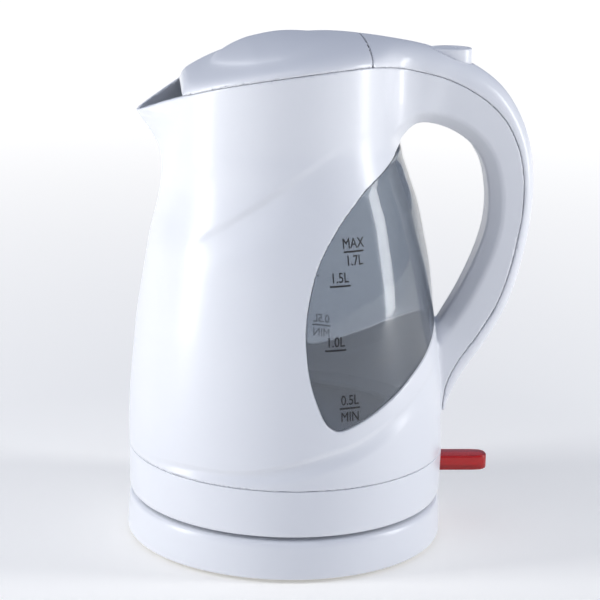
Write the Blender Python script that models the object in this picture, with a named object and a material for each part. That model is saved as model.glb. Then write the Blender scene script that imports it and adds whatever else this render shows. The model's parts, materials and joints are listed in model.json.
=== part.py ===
"""Cordless electric jug kettle on its power base.

Every size below is in millimetres; make_object turns them into metres. The origin is on the
base's axis at table level, +Z is up, the spout points to -X and the handle to +X.
"""

import math

import bmesh
import bpy
import numpy as np
from mathutils import Matrix, Vector

MM = 0.001
GAP = 0.3                      # clearance between pieces that touch
WALL = 2.6                     # jug wall
SHELL = 2.4                    # covers, lid and housings

# Power base
BASE_R = 80.0
BASE_TOP_R = 79.1
BASE_TOP = 20.6
BASE_SEAT = 21.6
HUB_R = 15.2
HUB_TOP = 36.0
FOOT_RING_R = 58.0
FEET = 4
BASE_SCREWS = 3
BASE_SCREW_RING_R = 40.0
PAD_R = 34.0
PAD_Z = 0.8
OUTLET_R = 3.5                 # cord outlet on the +Y side
OUTLET_Z = 9.4

# Skirt and heater under the jug
SKIRT_BOTTOM = 22.4
SKIRT_R = 79.5
JUG_BOTTOM = 46.5
WELL_R = 19.0
WELL_TOP = 37.5
FLANGE_Z = 58.0
CLAMP_SCREWS = 3
CLAMP_SCREW_RING_R = 72.6
HOUSING_SCREWS = 3
HOUSING_SCREW_RING_R = 50.0

# Jug: outline on the spout side and on the handle side, and half of its breadth, as (size, height)
SPOUT_SIDE = [(-79.5, 40), (-79.5, 60), (-78.1, 86), (-75.2, 118), (-70.9, 149), (-66.1, 172),
              (-64.5, 185), (-65.6, 197), (-69.3, 204.5), (-73.8, 211), (-77.2, 215.9), (-78, 222),
              (-78, 260)]
HANDLE_SIDE = [(79.6, 40), (79.0, 56), (77.2, 80), (75.4, 98), (73.3, 114), (70.2, 138.7),
               (66.5, 156.6), (62.6, 172.8), (57.3, 187.7), (54.0, 198), (52.0, 212), (51.0, 260)]
HALF_BREADTH = [(79.5, 40), (79.2, 60), (77.6, 86), (74.2, 118), (69.6, 149), (64.4, 172),
                (61.2, 185), (59.2, 198), (58.0, 212), (57.0, 260)]
SPOUT_ROUNDING = 0.10          # radians, softens the keel under the spout
SPOUT_PINCH = 1.3              # above 1 the spout's flanks are hollow

# Parting line between the jug and what closes it: rim, then the handle's flank
RIM = [(-90, 209), (-77.2, 215.9), (-66, 222.0), (-55.5, 227.2), (-43, 232.4), (-29.4, 236.4),
       (-11.2, 240.1), (7.4, 242.7), (22, 243.8), (33.5, 243.8), (46, 241.6), (59.5, 238.6),
       (72, 235.3)]

# Lid
LID_FRONT = -55.5
LID_BACK = 33.5
LID_RIDGE = [(-58, 230), (-55.3, 233.8), (-52.6, 237.3), (-43.2, 242.3), (-26.3, 249.7),
             (-17.7, 252.3), (-5.5, 254.6), (12.1, 255.3), (24, 255.0), (33.5, 254.2), (46, 253.2),
             (60, 250.8)]
CROWN = 2.25                   # superellipse exponent of the lid's and the cover's cross-section
LID_SCREWS = [(-38.0, 0.0), (8.0, 30.0), (8.0, -30.0)]

# Handle stations from the lid to the tail: outer ridge, parting line, inner edge, half width
HANDLE = [
    ((33.5, 254.2), (33.5, 243.8), (38.0, 196.0), 41.6),
    ((46.0, 253.2), (46.0, 241.6), (52.0, 207.5), 26.2),
    ((60.0, 250.8), (59.5, 238.6), (60.0, 212.3), 18.5),
    ((74.0, 246.6), (72.0, 235.3), (68.5, 211.8), 16.0),
    ((89.9, 239.4), (85.0, 229.5), (78.4, 208.3), 15.3),
    ((102.8, 229.8), (97.3, 220.9), (87.6, 201.8), 14.8),
    ((112.0, 216.8), (105.8, 210.6), (94.0, 192.0), 14.4),
    ((118.0, 201.5), (111.6, 196.8), (97.0, 180.0), 14.1),
    ((120.5, 183.5), (114.1, 180.5), (97.7, 168.5), 13.9),
    ((119.9, 163.5), (113.5, 163.5), (96.2, 156.5), 13.6),
    ((116.3, 141.0), (109.6, 141.0), (91.8, 142.5), 13.2),
    ((110.0, 119.0), (102.6, 122.3), (84.5, 126.0), 12.6),
    ((100.0, 99.8), (93.5, 106.4), (75.4, 109.5), 11.6),
    ((89.6, 83.1), (86.2, 92.5), (70.0, 97.0), 9.8),
    ((83.2, 71.0), (81.4, 80.0), (68.0, 84.0), 7.5),
    ((80.3, 60.5), (79.6, 66.0), (68.0, 72.0), 4.5),
]
HANDLE_BEVEL = 4.5
GRIP_ROOT = 25.0               # half width of the jug-side half where it leaves the jug

# Water window: its lower and upper edge as (degrees from the handle's plane, height)
WINDOW_ANGLE = 87.0
WINDOW_LOW = [(0, 113.5), (12.4, 110.8), (21, 106.6), (28, 103), (40, 96), (49, 89.7), (58, 83.8),
              (64, 80), (71.4, 76.2), (75.5, 75.4), (78.5, 77.6), (80.7, 81.7), (82.8, 88.6),
              (84.8, 97), (86.1, 107), (WINDOW_ANGLE, 122)]
WINDOW_HIGH = [(0, 203.5), (18.9, 201.5), (30, 197.6), (48.7, 190.1), (58.3, 184.7), (69.2, 175.2),
               (76, 166), (81.1, 155.7), (84.1, 146.2), (86.2, 135), (WINDOW_ANGLE, 122)]
WINDOW_WALL = 2.4

# Hinge, lid button, latch and switch
HINGE = (45.5, 0.0, 243.0)
PIN_R = 1.6
PIN_END = 20.4
ARM_Y = (11.0, 15.6)           # both hinge arms lie between these distances from the mid-plane
LUG_Y = (16.3, 19.6)
BUTTON = (76.3, 0.0)
BUTTON_A = 10.9
BUTTON_B = 8.0
BUTTON_TOP = 248.2
CARRIER_TOP = 225.7
SWITCH = (66.0, 0.0, 34.9)
SWITCH_WIDTH = 12.3
ROCKER = (52.0, 0.0, 34.9)

WHITE = (0.83, 0.85, 0.88)


# ---------------------------------------------------------------- curves and the jug's form

def smooth(points, per_span=8):
    """Points of a Catmull-Rom curve through the given points, ends included."""
    p = np.asarray(points, float)
    p = np.vstack([2 * p[0] - p[1], p, 2 * p[-1] - p[-2]])
    out = []
    for i in range(1, len(p) - 2):
        for t in np.arange(per_span) / per_span:
            a = 2 * p[i]
            b = p[i + 1] - p[i - 1]
            c = 2 * p[i - 1] - 5 * p[i] + 4 * p[i + 1] - p[i + 2]
            d = -p[i - 1] + 3 * p[i] - 3 * p[i + 1] + p[i + 2]
            out.append(0.5 * (a + b * t + c * t ** 2 + d * t ** 3))
    out.append(p[-2])
    return np.array(out)


def reader(points, along=1):
    """Function of one coordinate that reads the other off the smooth curve."""
    curve = smooth(points)
    return lambda v: np.interp(v, curve[:, along], curve[:, 1 - along])


spout_side = reader(SPOUT_SIDE)
handle_side = reader(HANDLE_SIDE)
half_breadth = reader(HALF_BREADTH)
rim_height = reader(RIM, along=0)
lid_ridge = reader(LID_RIDGE, along=0)
window_low = reader(WINDOW_LOW, along=0)
window_high = reader(WINDOW_HIGH, along=0)


def jug_point(angle, z, inset=0.0):
    """Point on the jug's outer face at an angle from the handle's plane; inset moves it inwards."""
    radius = float(half_breadth(z))
    centre = float(handle_side(z)) - radius
    reach = max(centre - float(spout_side(z)), radius)
    spread = math.acos(radius / reach)
    off = abs(math.remainder(angle - math.pi, 2 * math.pi))
    soft = math.sqrt(off ** 2 + SPOUT_ROUNDING ** 2) - SPOUT_ROUNDING
    beak = radius / math.cos(max(spread - soft, 0.0)) - radius
    if beak > 1e-6:
        beak = (reach - radius) * (beak / (reach - radius)) ** SPOUT_PINCH
    r = radius + beak - inset
    return (centre + r * math.cos(angle), r * math.sin(angle), z)


def rim_at(angle, inset=0.0):
    """Height of the rim at an angle."""
    z = 235.0
    for _ in range(40):
        z = 0.5 * z + 0.5 * float(rim_height(jug_point(angle, z, inset)[0]))
    return z


def rim_plan(inset):
    """Places along the rim's near half, from the spout to the back."""
    angles = np.linspace(math.pi, 0.05, 120)
    return np.array([jug_point(a, rim_at(a, inset), inset)[:2] for a in angles])


RIM_PLANS = {inset: rim_plan(inset) for inset in (0.0, SHELL, WALL + 0.8)}


def rim_half_width(x, inset=0.0):
    """Half the breadth of the jug along its rim."""
    plan = RIM_PLANS[inset]
    return float(np.interp(x, plan[:, 0], plan[:, 1]))


def handle_stations(count):
    """Smoothly spaced handle stations: ridge, parting line, inner edge as (x, z) and half width."""
    rows = np.array([[*o, *s, *i, w] for o, s, i, w in HANDLE])
    per = 8
    fine = smooth(rows, per)
    at = np.linspace(0, len(fine) - 1, count)
    cols = [np.interp(at, np.arange(len(fine)), fine[:, c]) for c in range(7)]
    return [(np.array(r[0:2]), np.array(r[2:4]), np.array(r[4:6]), r[6]) for r in zip(*cols)]


# ---------------------------------------------------------------- objects

def material(name, colour, roughness, metallic=0.0, alpha=1.0):
    m = bpy.data.materials.get(name) or bpy.data.materials.new(name)
    m.use_nodes = True
    shader = m.node_tree.nodes["Principled BSDF"]
    shader.inputs["Base Color"].default_value = (*colour, 1.0)
    shader.inputs["Roughness"].default_value = roughness
    shader.inputs["Metallic"].default_value = metallic
    shader.inputs["Alpha"].default_value = alpha
    m.diffuse_color = (*colour, alpha)
    return m


def white_plastic():
    return material("white_plastic", WHITE, 0.22)


def black_plastic():
    return material("black_plastic", (0.03, 0.03, 0.035), 0.5)


def brass():
    return material("brass", (0.72, 0.55, 0.27), 0.3, 1.0)


def steel():
    return material("steel", (0.62, 0.62, 0.63), 0.28, 1.0)


def aluminium():
    return material("aluminium", (0.75, 0.76, 0.77), 0.4, 1.0)


def rubber():
    return material("rubber", (0.05, 0.05, 0.05), 0.85)


def silicone():
    return material("silicone", (0.6, 0.6, 0.58), 0.7)


def smoked_clear():
    return material("smoked_clear", (0.42, 0.46, 0.5), 0.06, 0.0, 0.45)


def red_clear():
    return material("red_clear", (0.55, 0.02, 0.02), 0.1, 0.0, 0.85)


def make_object(name, verts, faces, mat):
    """Mesh object from millimetre points, with its faces turned outwards."""
    mesh = bpy.data.meshes.new(name)
    mesh.from_pydata([Vector(v) * MM for v in verts], [], faces)
    bm = bmesh.new()
    bm.from_mesh(mesh)
    bmesh.ops.remove_doubles(bm, verts=bm.verts, dist=1e-6)
    bmesh.ops.recalc_face_normals(bm, faces=bm.faces)
    bm.to_mesh(mesh)
    bm.free()
    mesh.shade_smooth()
    mesh.set_sharp_from_angle(angle=math.radians(35))
    ob = bpy.data.objects.new(name, mesh)
    bpy.context.scene.collection.objects.link(ob)
    mesh.materials.append(mat)
    return ob


def strip_cap(count, start, mate):
    """Faces that close a ring by joining each point to its mate across the ring."""
    faces = []
    for k in range(count // 2):
        quad = [k, k + 1, mate(k + 1), mate(k)]
        face = [start + i for n, i in enumerate(quad) if i not in quad[:n]]
        if len(face) > 2:
            faces.append(face)
    return faces


def loft(name, rings, mat, folded=False):
    """Closed solid through rings of equal length.

    A plain ring is symmetric about y = 0 and starts there. In a folded ring the first point
    mirrors the last one, or lies on the other face of the same wall.
    """
    n = len(rings[0])
    mate = (lambda k: n - 1 - k) if folded else (lambda k: (n - k) % n)
    verts = [p for ring in rings for p in ring]
    faces = []
    for r in range(len(rings) - 1):
        for k in range(n):
            a = r * n + k
            b = r * n + (k + 1) % n
            faces.append([a, b, b + n, a + n])
    faces += strip_cap(n, 0, mate)
    faces += strip_cap(n, (len(rings) - 1) * n, mate)
    return make_object(name, verts, faces, mat)


def mirrored_ring(half):
    """Folded ring from its y > 0 half; only the half's last point may lie on y = 0."""
    back = [(x, -y, z) for x, y, z in reversed(half) if y > 0]
    return [*half, *back]


def turned(name, profile, mat, segments=48, centre=(0.0, 0.0)):
    """Closed (radius, height) outline turned about a vertical axis."""
    verts = []
    for i in range(segments):
        a = 2 * math.pi * i / segments
        verts += [(centre[0] + r * math.cos(a), centre[1] + r * math.sin(a), z) for r, z in profile]
    n = len(profile)
    faces = []
    for i in range(segments):
        j = (i + 1) % segments
        for k in range(n):
            m = (k + 1) % n
            ring = [i * n + k, j * n + k, j * n + m, i * n + m]
            if profile[k][0] < 1e-6:
                ring.remove(j * n + k)
            if profile[m][0] < 1e-6:
                ring.remove(j * n + m)
            if len(ring) > 2:
                faces.append(ring)
    return make_object(name, verts, faces, mat)


def rod(name, start, end, radius, mat, segments=20):
    """Cylinder between two points."""
    a, b = Vector(start), Vector(end)
    axis = (b - a).normalized()
    side = axis.orthogonal().normalized()
    up = axis.cross(side)
    turn = [2 * math.pi * k / segments for k in range(segments)]
    spokes = [(side * math.cos(t) + up * math.sin(t)) * radius for t in turn]
    verts = [tuple(end_point + s) for end_point in (a, b) for s in spokes]
    faces = [[k, (k + 1) % segments, segments + (k + 1) % segments, segments + k]
             for k in range(segments)]
    faces += [list(range(segments)), list(range(segments, 2 * segments))]
    return make_object(name, verts, faces, mat)


def prism(name, outline, low, high, mat, along="z"):
    """Outline pushed from low to high: (x, y) along z, or (x, z) along y."""
    place = {"z": lambda a, b, c: (a, b, c), "y": lambda a, b, c: (a, c, b)}[along]
    n = len(outline)
    verts = [place(a, b, c) for c in (low, high) for a, b in outline]
    faces = [[k, (k + 1) % n, n + (k + 1) % n, n + k] for k in range(n)]
    faces += [list(range(n)), list(range(n, 2 * n))]
    return make_object(name, verts, faces, mat)


def block(name, low, high, mat):
    """Box between two corners."""
    outline = [(low[0], low[1]), (high[0], low[1]), (high[0], high[1]), (low[0], high[1])]
    return prism(name, outline, low[2], high[2], mat)


def ellipse(centre, a, b, count=36):
    turn = [2 * math.pi * k / count for k in range(count)]
    return [(centre[0] + a * math.cos(t), centre[1] + b * math.sin(t)) for t in turn]


def hide(ob):
    """Mark an object as a tool that isn't part of the kettle."""
    ob.hide_render = True
    ob.display_type = "WIRE"
    return ob


def boolean(target, operation, tools):
    for tool in tools:
        m = target.modifiers.new(tool.name, "BOOLEAN")
        m.operation = operation
        m.solver = "EXACT"
        m.object = hide(tool)
    return target


def cut(target, *tools):
    return boolean(target, "DIFFERENCE", tools)


def join(target, *tools):
    return boolean(target, "UNION", tools)


def pivot(name, place, pieces):
    """Empty on a joint's axis that carries the pieces which move with it."""
    empty = bpy.data.objects.new(name, None)
    empty.empty_display_size = 0.01
    empty.location = Vector(place) * MM
    bpy.context.scene.collection.objects.link(empty)
    for piece in pieces:
        piece.parent = empty
        piece.matrix_parent_inverse = Matrix.Translation(-empty.location)
    return empty


def around(radius, count, start=0.0):
    """Places on a circle about the kettle's axis."""
    turn = [start + 2 * math.pi * k / count for k in range(count)]
    return [(radius * math.cos(t), radius * math.sin(t)) for t in turn]


def screw(name, place, head_z, tip_z, head_r=2.8, shank_r=1.3, head=1.8):
    """Vertical screw: its head's outer face at head_z, its tip at tip_z."""
    way = 1 if tip_z > head_z else -1
    profile = [(0, head_z), (head_r * 0.8, head_z), (head_r, head_z + way * head * 0.4),
               (head_r, head_z + way * head), (shank_r, head_z + way * head),
               (shank_r, tip_z - way * 1.0), (0.5, tip_z), (0, tip_z)]
    return turned(name, profile, steel(), 8, place)


def coil(name, place, radius, wire, low, high, turns, mat, along="z", steps=10):
    """Round spring of the given radius about an axis along z or y."""
    total = int(turns * steps)
    sides = 4
    rings = []
    for i in range(total + 1):
        t = 2 * math.pi * i / steps
        h = low + wire + (high - low - 2 * wire) * i / total
        ring = []
        for k in range(sides):
            b = 2 * math.pi * k / sides
            r = radius + wire * math.cos(b)
            a, c, e = r * math.cos(t), r * math.sin(t), h + wire * math.sin(b)
            if along == "z":
                ring.append((place[0] + a, place[1] + c, e))
            else:
                ring.append((place[0] + a, place[1] + e, place[2] + c))
        rings.append(ring)
    n = sides
    verts = [p for ring in rings for p in ring]
    faces = [[r * n + k, r * n + (k + 1) % n, (r + 1) * n + (k + 1) % n, (r + 1) * n + k]
             for r in range(total) for k in range(n)]
    faces += [list(range(n)), list(range(total * n, total * n + n))]
    return make_object(name, verts, faces, mat)


# ---------------------------------------------------------------- power base

def base_shell():
    inner = HUB_R + GAP
    profile = [(79.6, 1.6), (BASE_R, 2.8), (BASE_TOP_R, 18.0), (78.5, 19.8), (77.0, BASE_TOP),
               (69.4, BASE_TOP), (68.4, BASE_SEAT), (inner, BASE_SEAT), (inner, 19.2), (67.4, 19.2),
               (68.4, 18.2), (75.6, 18.2), (76.6, 17.2), (77.4, 1.6)]
    shell = turned("base_shell", profile, white_plastic(), 36)
    cut(shell, rod("cord_outlet", (0, 70, OUTLET_Z), (0, 90, OUTLET_Z), OUTLET_R, white_plastic()))
    bosses = []
    for k, (x, y) in enumerate(around(BASE_SCREW_RING_R, BASE_SCREWS, 0.5)):
        bosses.append(turned(f"base_boss_{k}", [(1.6, 5.2), (3.8, 5.2), (3.8, 20.2), (1.6, 20.2)],
                             white_plastic(), 10, (x, y)))
    join(shell, *bosses)
    return shell


def base_bottom_plate():
    profile = [(0, PAD_Z), (PAD_R - 0.6, PAD_Z), (PAD_R, 1.4), (PAD_R, 2.4), (76.4, 2.4),
               (76.9, 2.8), (76.9, 4.8), (0, 4.8)]
    plate = turned("base_bottom_plate", profile, white_plastic(), 36)
    holes = [rod(f"foot_hole_{k}", (x, y, -2), (x, y, 8), 2.6 + GAP, white_plastic(), 12)
             for k, (x, y) in enumerate(around(FOOT_RING_R, FEET, math.pi / 4))]
    for k, (x, y) in enumerate(around(BASE_SCREW_RING_R, BASE_SCREWS, 0.5)):
        holes.append(rod(f"base_screw_hole_{k}", (x, y, -2), (x, y, 8), 1.3 + GAP,
                         white_plastic(), 16))
    return cut(plate, *holes)


def feet():
    profile = [(0, 0), (5.4, 0), (6.2, 0.8), (6.2, 2.1), (2.6, 2.1), (2.6, 5.1), (3.9, 5.1),
               (3.4, 6.4), (0, 6.4)]
    for k, place in enumerate(around(FOOT_RING_R, FEET, math.pi / 4)):
        turned(f"foot_{k + 1}", profile, rubber(), 14, place)


def base_screws():
    for k, place in enumerate(around(BASE_SCREW_RING_R, BASE_SCREWS, 0.5)):
        screw(f"base_screw_{k + 1}", place, 0.3, 15.0)


def base_socket():
    profile = [(2.6, HUB_TOP), (5.6, HUB_TOP), (5.6, 18.0), (8.0, 18.0), (8.0, HUB_TOP),
               (10.4, HUB_TOP), (10.4, 18.0), (12.2, 18.0), (12.2, HUB_TOP), (14.4, HUB_TOP),
               (HUB_R, 35.2), (HUB_R, 18.8), (20.0, 18.8), (20.0, 16.4), (16.0, 10.0), (0, 10.0),
               (0, 13.0), (2.6, 13.0)]
    turned("base_socket", profile, black_plastic(), 24)
    ring = [(5.9, 18.3), (7.7, 18.3), (7.7, 20.0), (5.9, 20.0)]
    turned("base_contact_inner", ring, brass(), 18)
    ring = [(10.65, 18.3), (11.95, 18.3), (11.95, 20.0), (10.65, 20.0)]
    turned("base_contact_outer", ring, brass(), 18)
    turned("base_contact_pin", [(0, 13.3), (2.3, 13.3), (2.3, 15.5), (0, 15.5)], brass(), 16)


# ---------------------------------------------------------------- skirt, heater and controller

def lower_housing():
    """The skirt, its floor and the well that drops over the base's hub."""
    profile = [(SKIRT_R, JUG_BOTTOM - 0.5), (79.1, 25.2), (78.4, 23.2), (77.0, SKIRT_BOTTOM),
               (70.6, SKIRT_BOTTOM), (70.0, BASE_SEAT + GAP), (WELL_R, BASE_SEAT + GAP),
               (WELL_R, WELL_TOP), (21.4, WELL_TOP), (21.4, 24.4), (74.6, 24.8), (76.4, 26.6),
               (76.9, JUG_BOTTOM - 0.5)]
    housing = turned("lower_housing", profile, white_plastic(), 36)
    half = SWITCH_WIDTH / 2 + 0.7
    slot = block("switch_slot", (70, -half, 26.9), (90, half, 40.2), white_plastic())
    cut(housing, slot)
    posts = []
    for k, (x, y) in enumerate(around(HOUSING_SCREW_RING_R, HOUSING_SCREWS, math.pi)):
        profile = [(1.6, 23.8), (5.0, 23.8), (5.0, 26.8), (3.6, 28.2), (3.6, 43), (1.6, 43)]
        posts.append(turned(f"housing_post_{k}", profile, white_plastic(), 12, (x, y)))
    join(housing, *posts)
    for k, (x, y) in enumerate(around(HOUSING_SCREW_RING_R, HOUSING_SCREWS, math.pi)):
        cut(housing, rod(f"screw_way_{k}", (x, y, 18), (x, y, 30), 1.6, white_plastic(), 12),
            rod(f"screw_recess_{k}", (x, y, 18), (x, y, 25.2), 3.3, white_plastic(), 12))
    ears = [block(f"switch_ear_{s}", (63.6, min(s * 7.2, s * 9.4), 24),
                  (68.4, max(s * 7.2, s * 9.4), 37.9), white_plastic()) for s in (-1, 1)]
    join(housing, *ears)
    bore = rod("switch_pin_bore", (SWITCH[0], -12, SWITCH[2]), (SWITCH[0], 12, SWITCH[2]),
               1.2 + GAP, white_plastic(), 16)
    return cut(housing, bore)


def heater():
    plate = [(0, 55.9), (63.5, 55.9), (69.4, 55.9), (69.9, 55.4), (69.9, 54.2), (0, 54.2)]
    turned("heating_plate", plate, steel(), 24)
    turned("plate_seal", [(63.0, 56.2), (69.6, 56.2), (69.6, 57.7), (63.0, 57.7)], silicone(), 24)
    clamp = turned("plate_clamp_ring", [(62.5, 51.4), (75.8, 51.4), (75.8, 53.9), (62.5, 53.9)],
                   steel(), 24)
    cut(clamp, *[rod(f"clamp_hole_{k}", (x, y, 48), (x, y, 57), 1.2 + GAP, steel(), 16)
                 for k, (x, y) in enumerate(around(CLAMP_SCREW_RING_R, CLAMP_SCREWS, 1.0))])
    for k, place in enumerate(around(CLAMP_SCREW_RING_R, CLAMP_SCREWS, 1.0)):
        screw(f"clamp_screw_{k + 1}", place, 49.3, 57.0, 2.6, 1.2)
    turned("heat_diffuser", [(0, 53.9), (56, 53.9), (56, 52.2), (0, 52.2)], aluminium(), 24)
    heating_element()


def heating_element():
    """Tubular element in an open ring, with its two ends turned down to the terminals."""
    bend = 0.35
    turn = np.linspace(bend, 2 * math.pi - bend, 20)
    route = [(45 * math.cos(t), 45 * math.sin(t), 48.2) for t in turn]
    ends = []
    for x, y, z in (route[0], route[-1]):
        ends.append([(x - 2.5, y * 0.96, z - 1.6), (x - 4.2, y * 0.92, z - 4.5),
                     (x - 4.6, y * 0.9, z - 8.5)])
    route = [*ends[0][::-1], *route, *ends[1]]
    curve = bpy.data.curves.new("heating_element", "CURVE")
    curve.dimensions = "3D"
    curve.bevel_depth = 3.4 * MM
    curve.bevel_resolution = 2
    curve.use_fill_caps = True
    spline = curve.splines.new("POLY")
    spline.points.add(len(route) - 1)
    for point, place in zip(spline.points, route):
        point.co = (*(Vector(place) * MM), 1.0)
    ob = bpy.data.objects.new("heating_element", curve)
    curve.materials.append(steel())
    bpy.context.scene.collection.objects.link(ob)


def controller():
    """Thermostat and switch block with the male half of the cordless connector under it."""
    outline = [(-27, -17), (-22, -22), (22, -22), (27, -17), (27, 17), (22, 22), (-22, 22),
               (-27, 17)]
    block_body = prism("controller", outline, 41.6, 50.2, black_plastic())
    x, _, z = ROCKER
    for s in (-1, 1):
        low, high = sorted((s * 5.0, s * 7.2))
        arm = [(24.0, 42.4), (x - 5.0, 39.0), (x - 2.6, z - 2.4), (x + 2.6, z - 2.4),
               (x + 2.6, 41.0), (24.0, 47.0)]
        join(block_body, prism(f"rocker_arm_{s}", arm, low, high, black_plastic(), "y"))
    join(block_body, rod("rocker_pin", (x, -6.2, z), (x, 6.2, z), 1.0, black_plastic(), 12))
    for k, y in enumerate((-11.5, 11.5)):
        turned(f"bimetal_disc_{k + 1}", [(0, 51.2), (3.5, 51.4), (7, 51.0), (7, 50.6), (3.5, 50.9),
                                         (0, 50.7)], brass(), 12, (0, y))
    turned("connector_body", [(0, 41.3), (21.2, 41.3), (21.2, 37.8), (0, 37.8)],
           black_plastic(), 32)
    inner = [(6.2, 37.5), (7.3, 37.5), (7.3, 21.0), (6.9, 20.6), (6.6, 20.6), (6.2, 21.0)]
    turned("connector_ring_inner", inner, brass(), 18)
    outer = [(10.8, 37.5), (11.8, 37.5), (11.8, 21.0), (11.4, 20.6), (11.1, 20.6), (10.8, 21.0)]
    turned("connector_ring_outer", outer, brass(), 18)
    turned("connector_pin", [(0, 37.5), (1.9, 37.5), (1.9, 17.4), (1.0, 16.2), (0, 16.2)],
           brass(), 16)


def housing_screws():
    for k, place in enumerate(around(HOUSING_SCREW_RING_R, HOUSING_SCREWS, math.pi)):
        screw(f"housing_screw_{k + 1}", place, 23.0, 40.0)


def switch():
    """Translucent rocking lever on its pin, the trip rocker that follows it, and the lamp."""
    x, _, z = SWITCH
    half = SWITCH_WIDTH / 2
    top, low = 38.8, 31.0
    plan = [(60.5, -half), (97.5, -half), (101.6, -half + 0.9), (103.6, -half + 3.0),
            (104.3, 0), (103.6, half - 3.0), (101.6, half - 0.9), (97.5, half), (60.5, half)]
    lever = prism("switch_lever", plan, low, top, red_clear())
    cut(lever, rod("lever_bore", (x, -9, z), (x, 9, z), 1.2 + GAP, red_clear(), 16))
    bevel = lever.modifiers.new("edge", "BEVEL")
    bevel.width = 0.7 * MM
    bevel.segments = 1
    bevel.limit_method = "ANGLE"
    bevel.angle_limit = math.radians(50)
    rod("switch_pin", (x, -10.5, z), (x, 10.5, z), 1.2, steel(), 16)
    rx, _, rz = ROCKER
    shape = [(rx - 7.5, rz - 1.2), (rx + 7.6, rz - 1.2), (rx + 7.9, rz), (rx + 7.6, rz + 1.2),
             (rx + 1.5, rz + 2.6), (rx - 7.5, rz + 1.2)]
    rocker = prism("trip_rocker", shape, -4.5, 4.5, black_plastic(), "y")
    cut(rocker, rod("rocker_bore", (rx, -8, rz), (rx, 8, rz), 1.0 + GAP, black_plastic(), 12))
    turned("indicator_lamp", [(0, 25.0), (2.6, 25.0), (2.6, 28.0), (1.6, 29.2), (0, 29.6)],
           red_clear(), 16, (70.0, 0))
    pivot("switch_axis", SWITCH, [lever])
    pivot("rocker_axis", ROCKER, [rocker])


# ---------------------------------------------------------------- jug

def jug_rings(rows, columns, inset, low, above):
    """Rings of the jug's form, from height low to the rim plus above."""
    angles = [2 * math.pi * k / columns for k in range(columns)]
    tops = [rim_at(a, inset) + above for a in angles]
    rings = []
    for t in rows:
        rings.append([jug_point(a, low + (top - low) * t, inset) for a, top in zip(angles, tops)])
    return rings


def handle_ring(station, trim, cover):
    """Ring of the handle's jug-side half; trim insets it, cover lifts its open edge."""
    _, seam, inner, w = station
    depth = np.linalg.norm(seam - inner)
    bevel = min(HANDLE_BEVEL, 0.4 * depth, 0.6 * w)
    w = min(w, GRIP_ROOT) - trim
    start = trim / depth
    end = 1.0 + cover / depth
    steps = [(start, w - bevel), (start + 0.3 * bevel / depth, w - 0.3 * bevel),
             (start + bevel / depth, w), (0.5 * (start + end), w), (end, w)]
    half = []
    for a, y in steps:
        x, z = inner + (seam - inner) * a
        half.append((x, y, z))
    return mirrored_ring(half)


def body_shell():
    """Jug, spout and the jug-side half of the handle in one moulding."""
    plastic = white_plastic()
    rows = np.linspace(0, 1, 14)
    body = loft("body_shell", jug_rings(rows, 44, 0.0, JUG_BOTTOM, -0.3), plastic)
    cut(body, window_solid("window_opening", -8.0, 6.0, 0.0))
    stations = handle_stations(22)
    grip = loft("handle_form", [handle_ring(s, 0.0, -0.2) for s in stations], plastic, True)
    join(body, grip)

    water = loft("water_space", jug_rings(np.linspace(0, 1, 11), 36, WALL, 44.0, 5.0), plastic)
    cut(water, block("rear_compartment_keep", (29.0, -80, 199.5), (90, 80, 270), plastic))
    cut(body, water)
    space = loft("compartment_form", jug_rings(np.linspace(0, 1, 6), 28, WALL + 0.05, 150.0, 5.0),
                 plastic)
    boolean(space, "INTERSECT",
            [block("compartment_keep", (31.4, -80, 202.0), (90, 80, 270), plastic)])
    cut(body, space)
    hollow = handle_stations(20)[1:-4]
    channel = loft("handle_channel", [handle_ring(s, SHELL, 6.0) for s in hollow], plastic, True)
    cut(body, channel)
    cut(body, block("partition_top", (27, -34, 222.4), (33, 34, 270), plastic))

    flange = turned("plate_flange", [(62.0, FLANGE_Z), (77.6, FLANGE_Z), (77.6, 60.4),
                                     (62.0, 60.4)], plastic, 40)
    join(body, flange)
    bosses = [turned(f"clamp_boss_{k}", [(1.5, 54.3), (3.0, 54.3), (3.0, 59.0), (1.5, 59.0)],
                     plastic, 10, place)
              for k, place in enumerate(around(CLAMP_SCREW_RING_R, CLAMP_SCREWS, 1.0))]
    join(body, *bosses)
    hinge_lugs(body)
    filter_rails(body)
    return body


def hinge_lugs(body):
    x, _, z = HINGE
    for s in (-1, 1):
        low, high = sorted((s * LUG_Y[0], s * LUG_Y[1]))
        outline = [(x - 4.7, 201.0), (x + 0.2, 201.0), (x + 3.7, 230.0), (x + 3.7, z)]
        outline += [(x + 3.7 * math.cos(t), z + 3.7 * math.sin(t))
                    for t in np.linspace(0.4, math.pi - 0.4, 6)]
        outline += [(x - 3.7, z)]
        join(body, prism(f"hinge_lug_{s}", outline, low, high, white_plastic(), "y"))
    cut(body, rod("hinge_bore", (x, -PIN_END, z), (x, PIN_END, z), PIN_R + GAP, white_plastic(),
                  16))


def filter_rails(body):
    for s in (-1, 1):
        low, high = sorted((s * 17.0, s * 25.5))
        rail = block(f"filter_rail_{s}", (-57.6, low, 190), (-52.0, high, 214), white_plastic())
        join(body, rail)
        low, high = sorted((s * 16.0, s * 19.4))
        cut(body, block(f"filter_slot_{s}", (-56.2, low, 192), (-53.4, high, 220),
                        white_plastic()))


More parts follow.
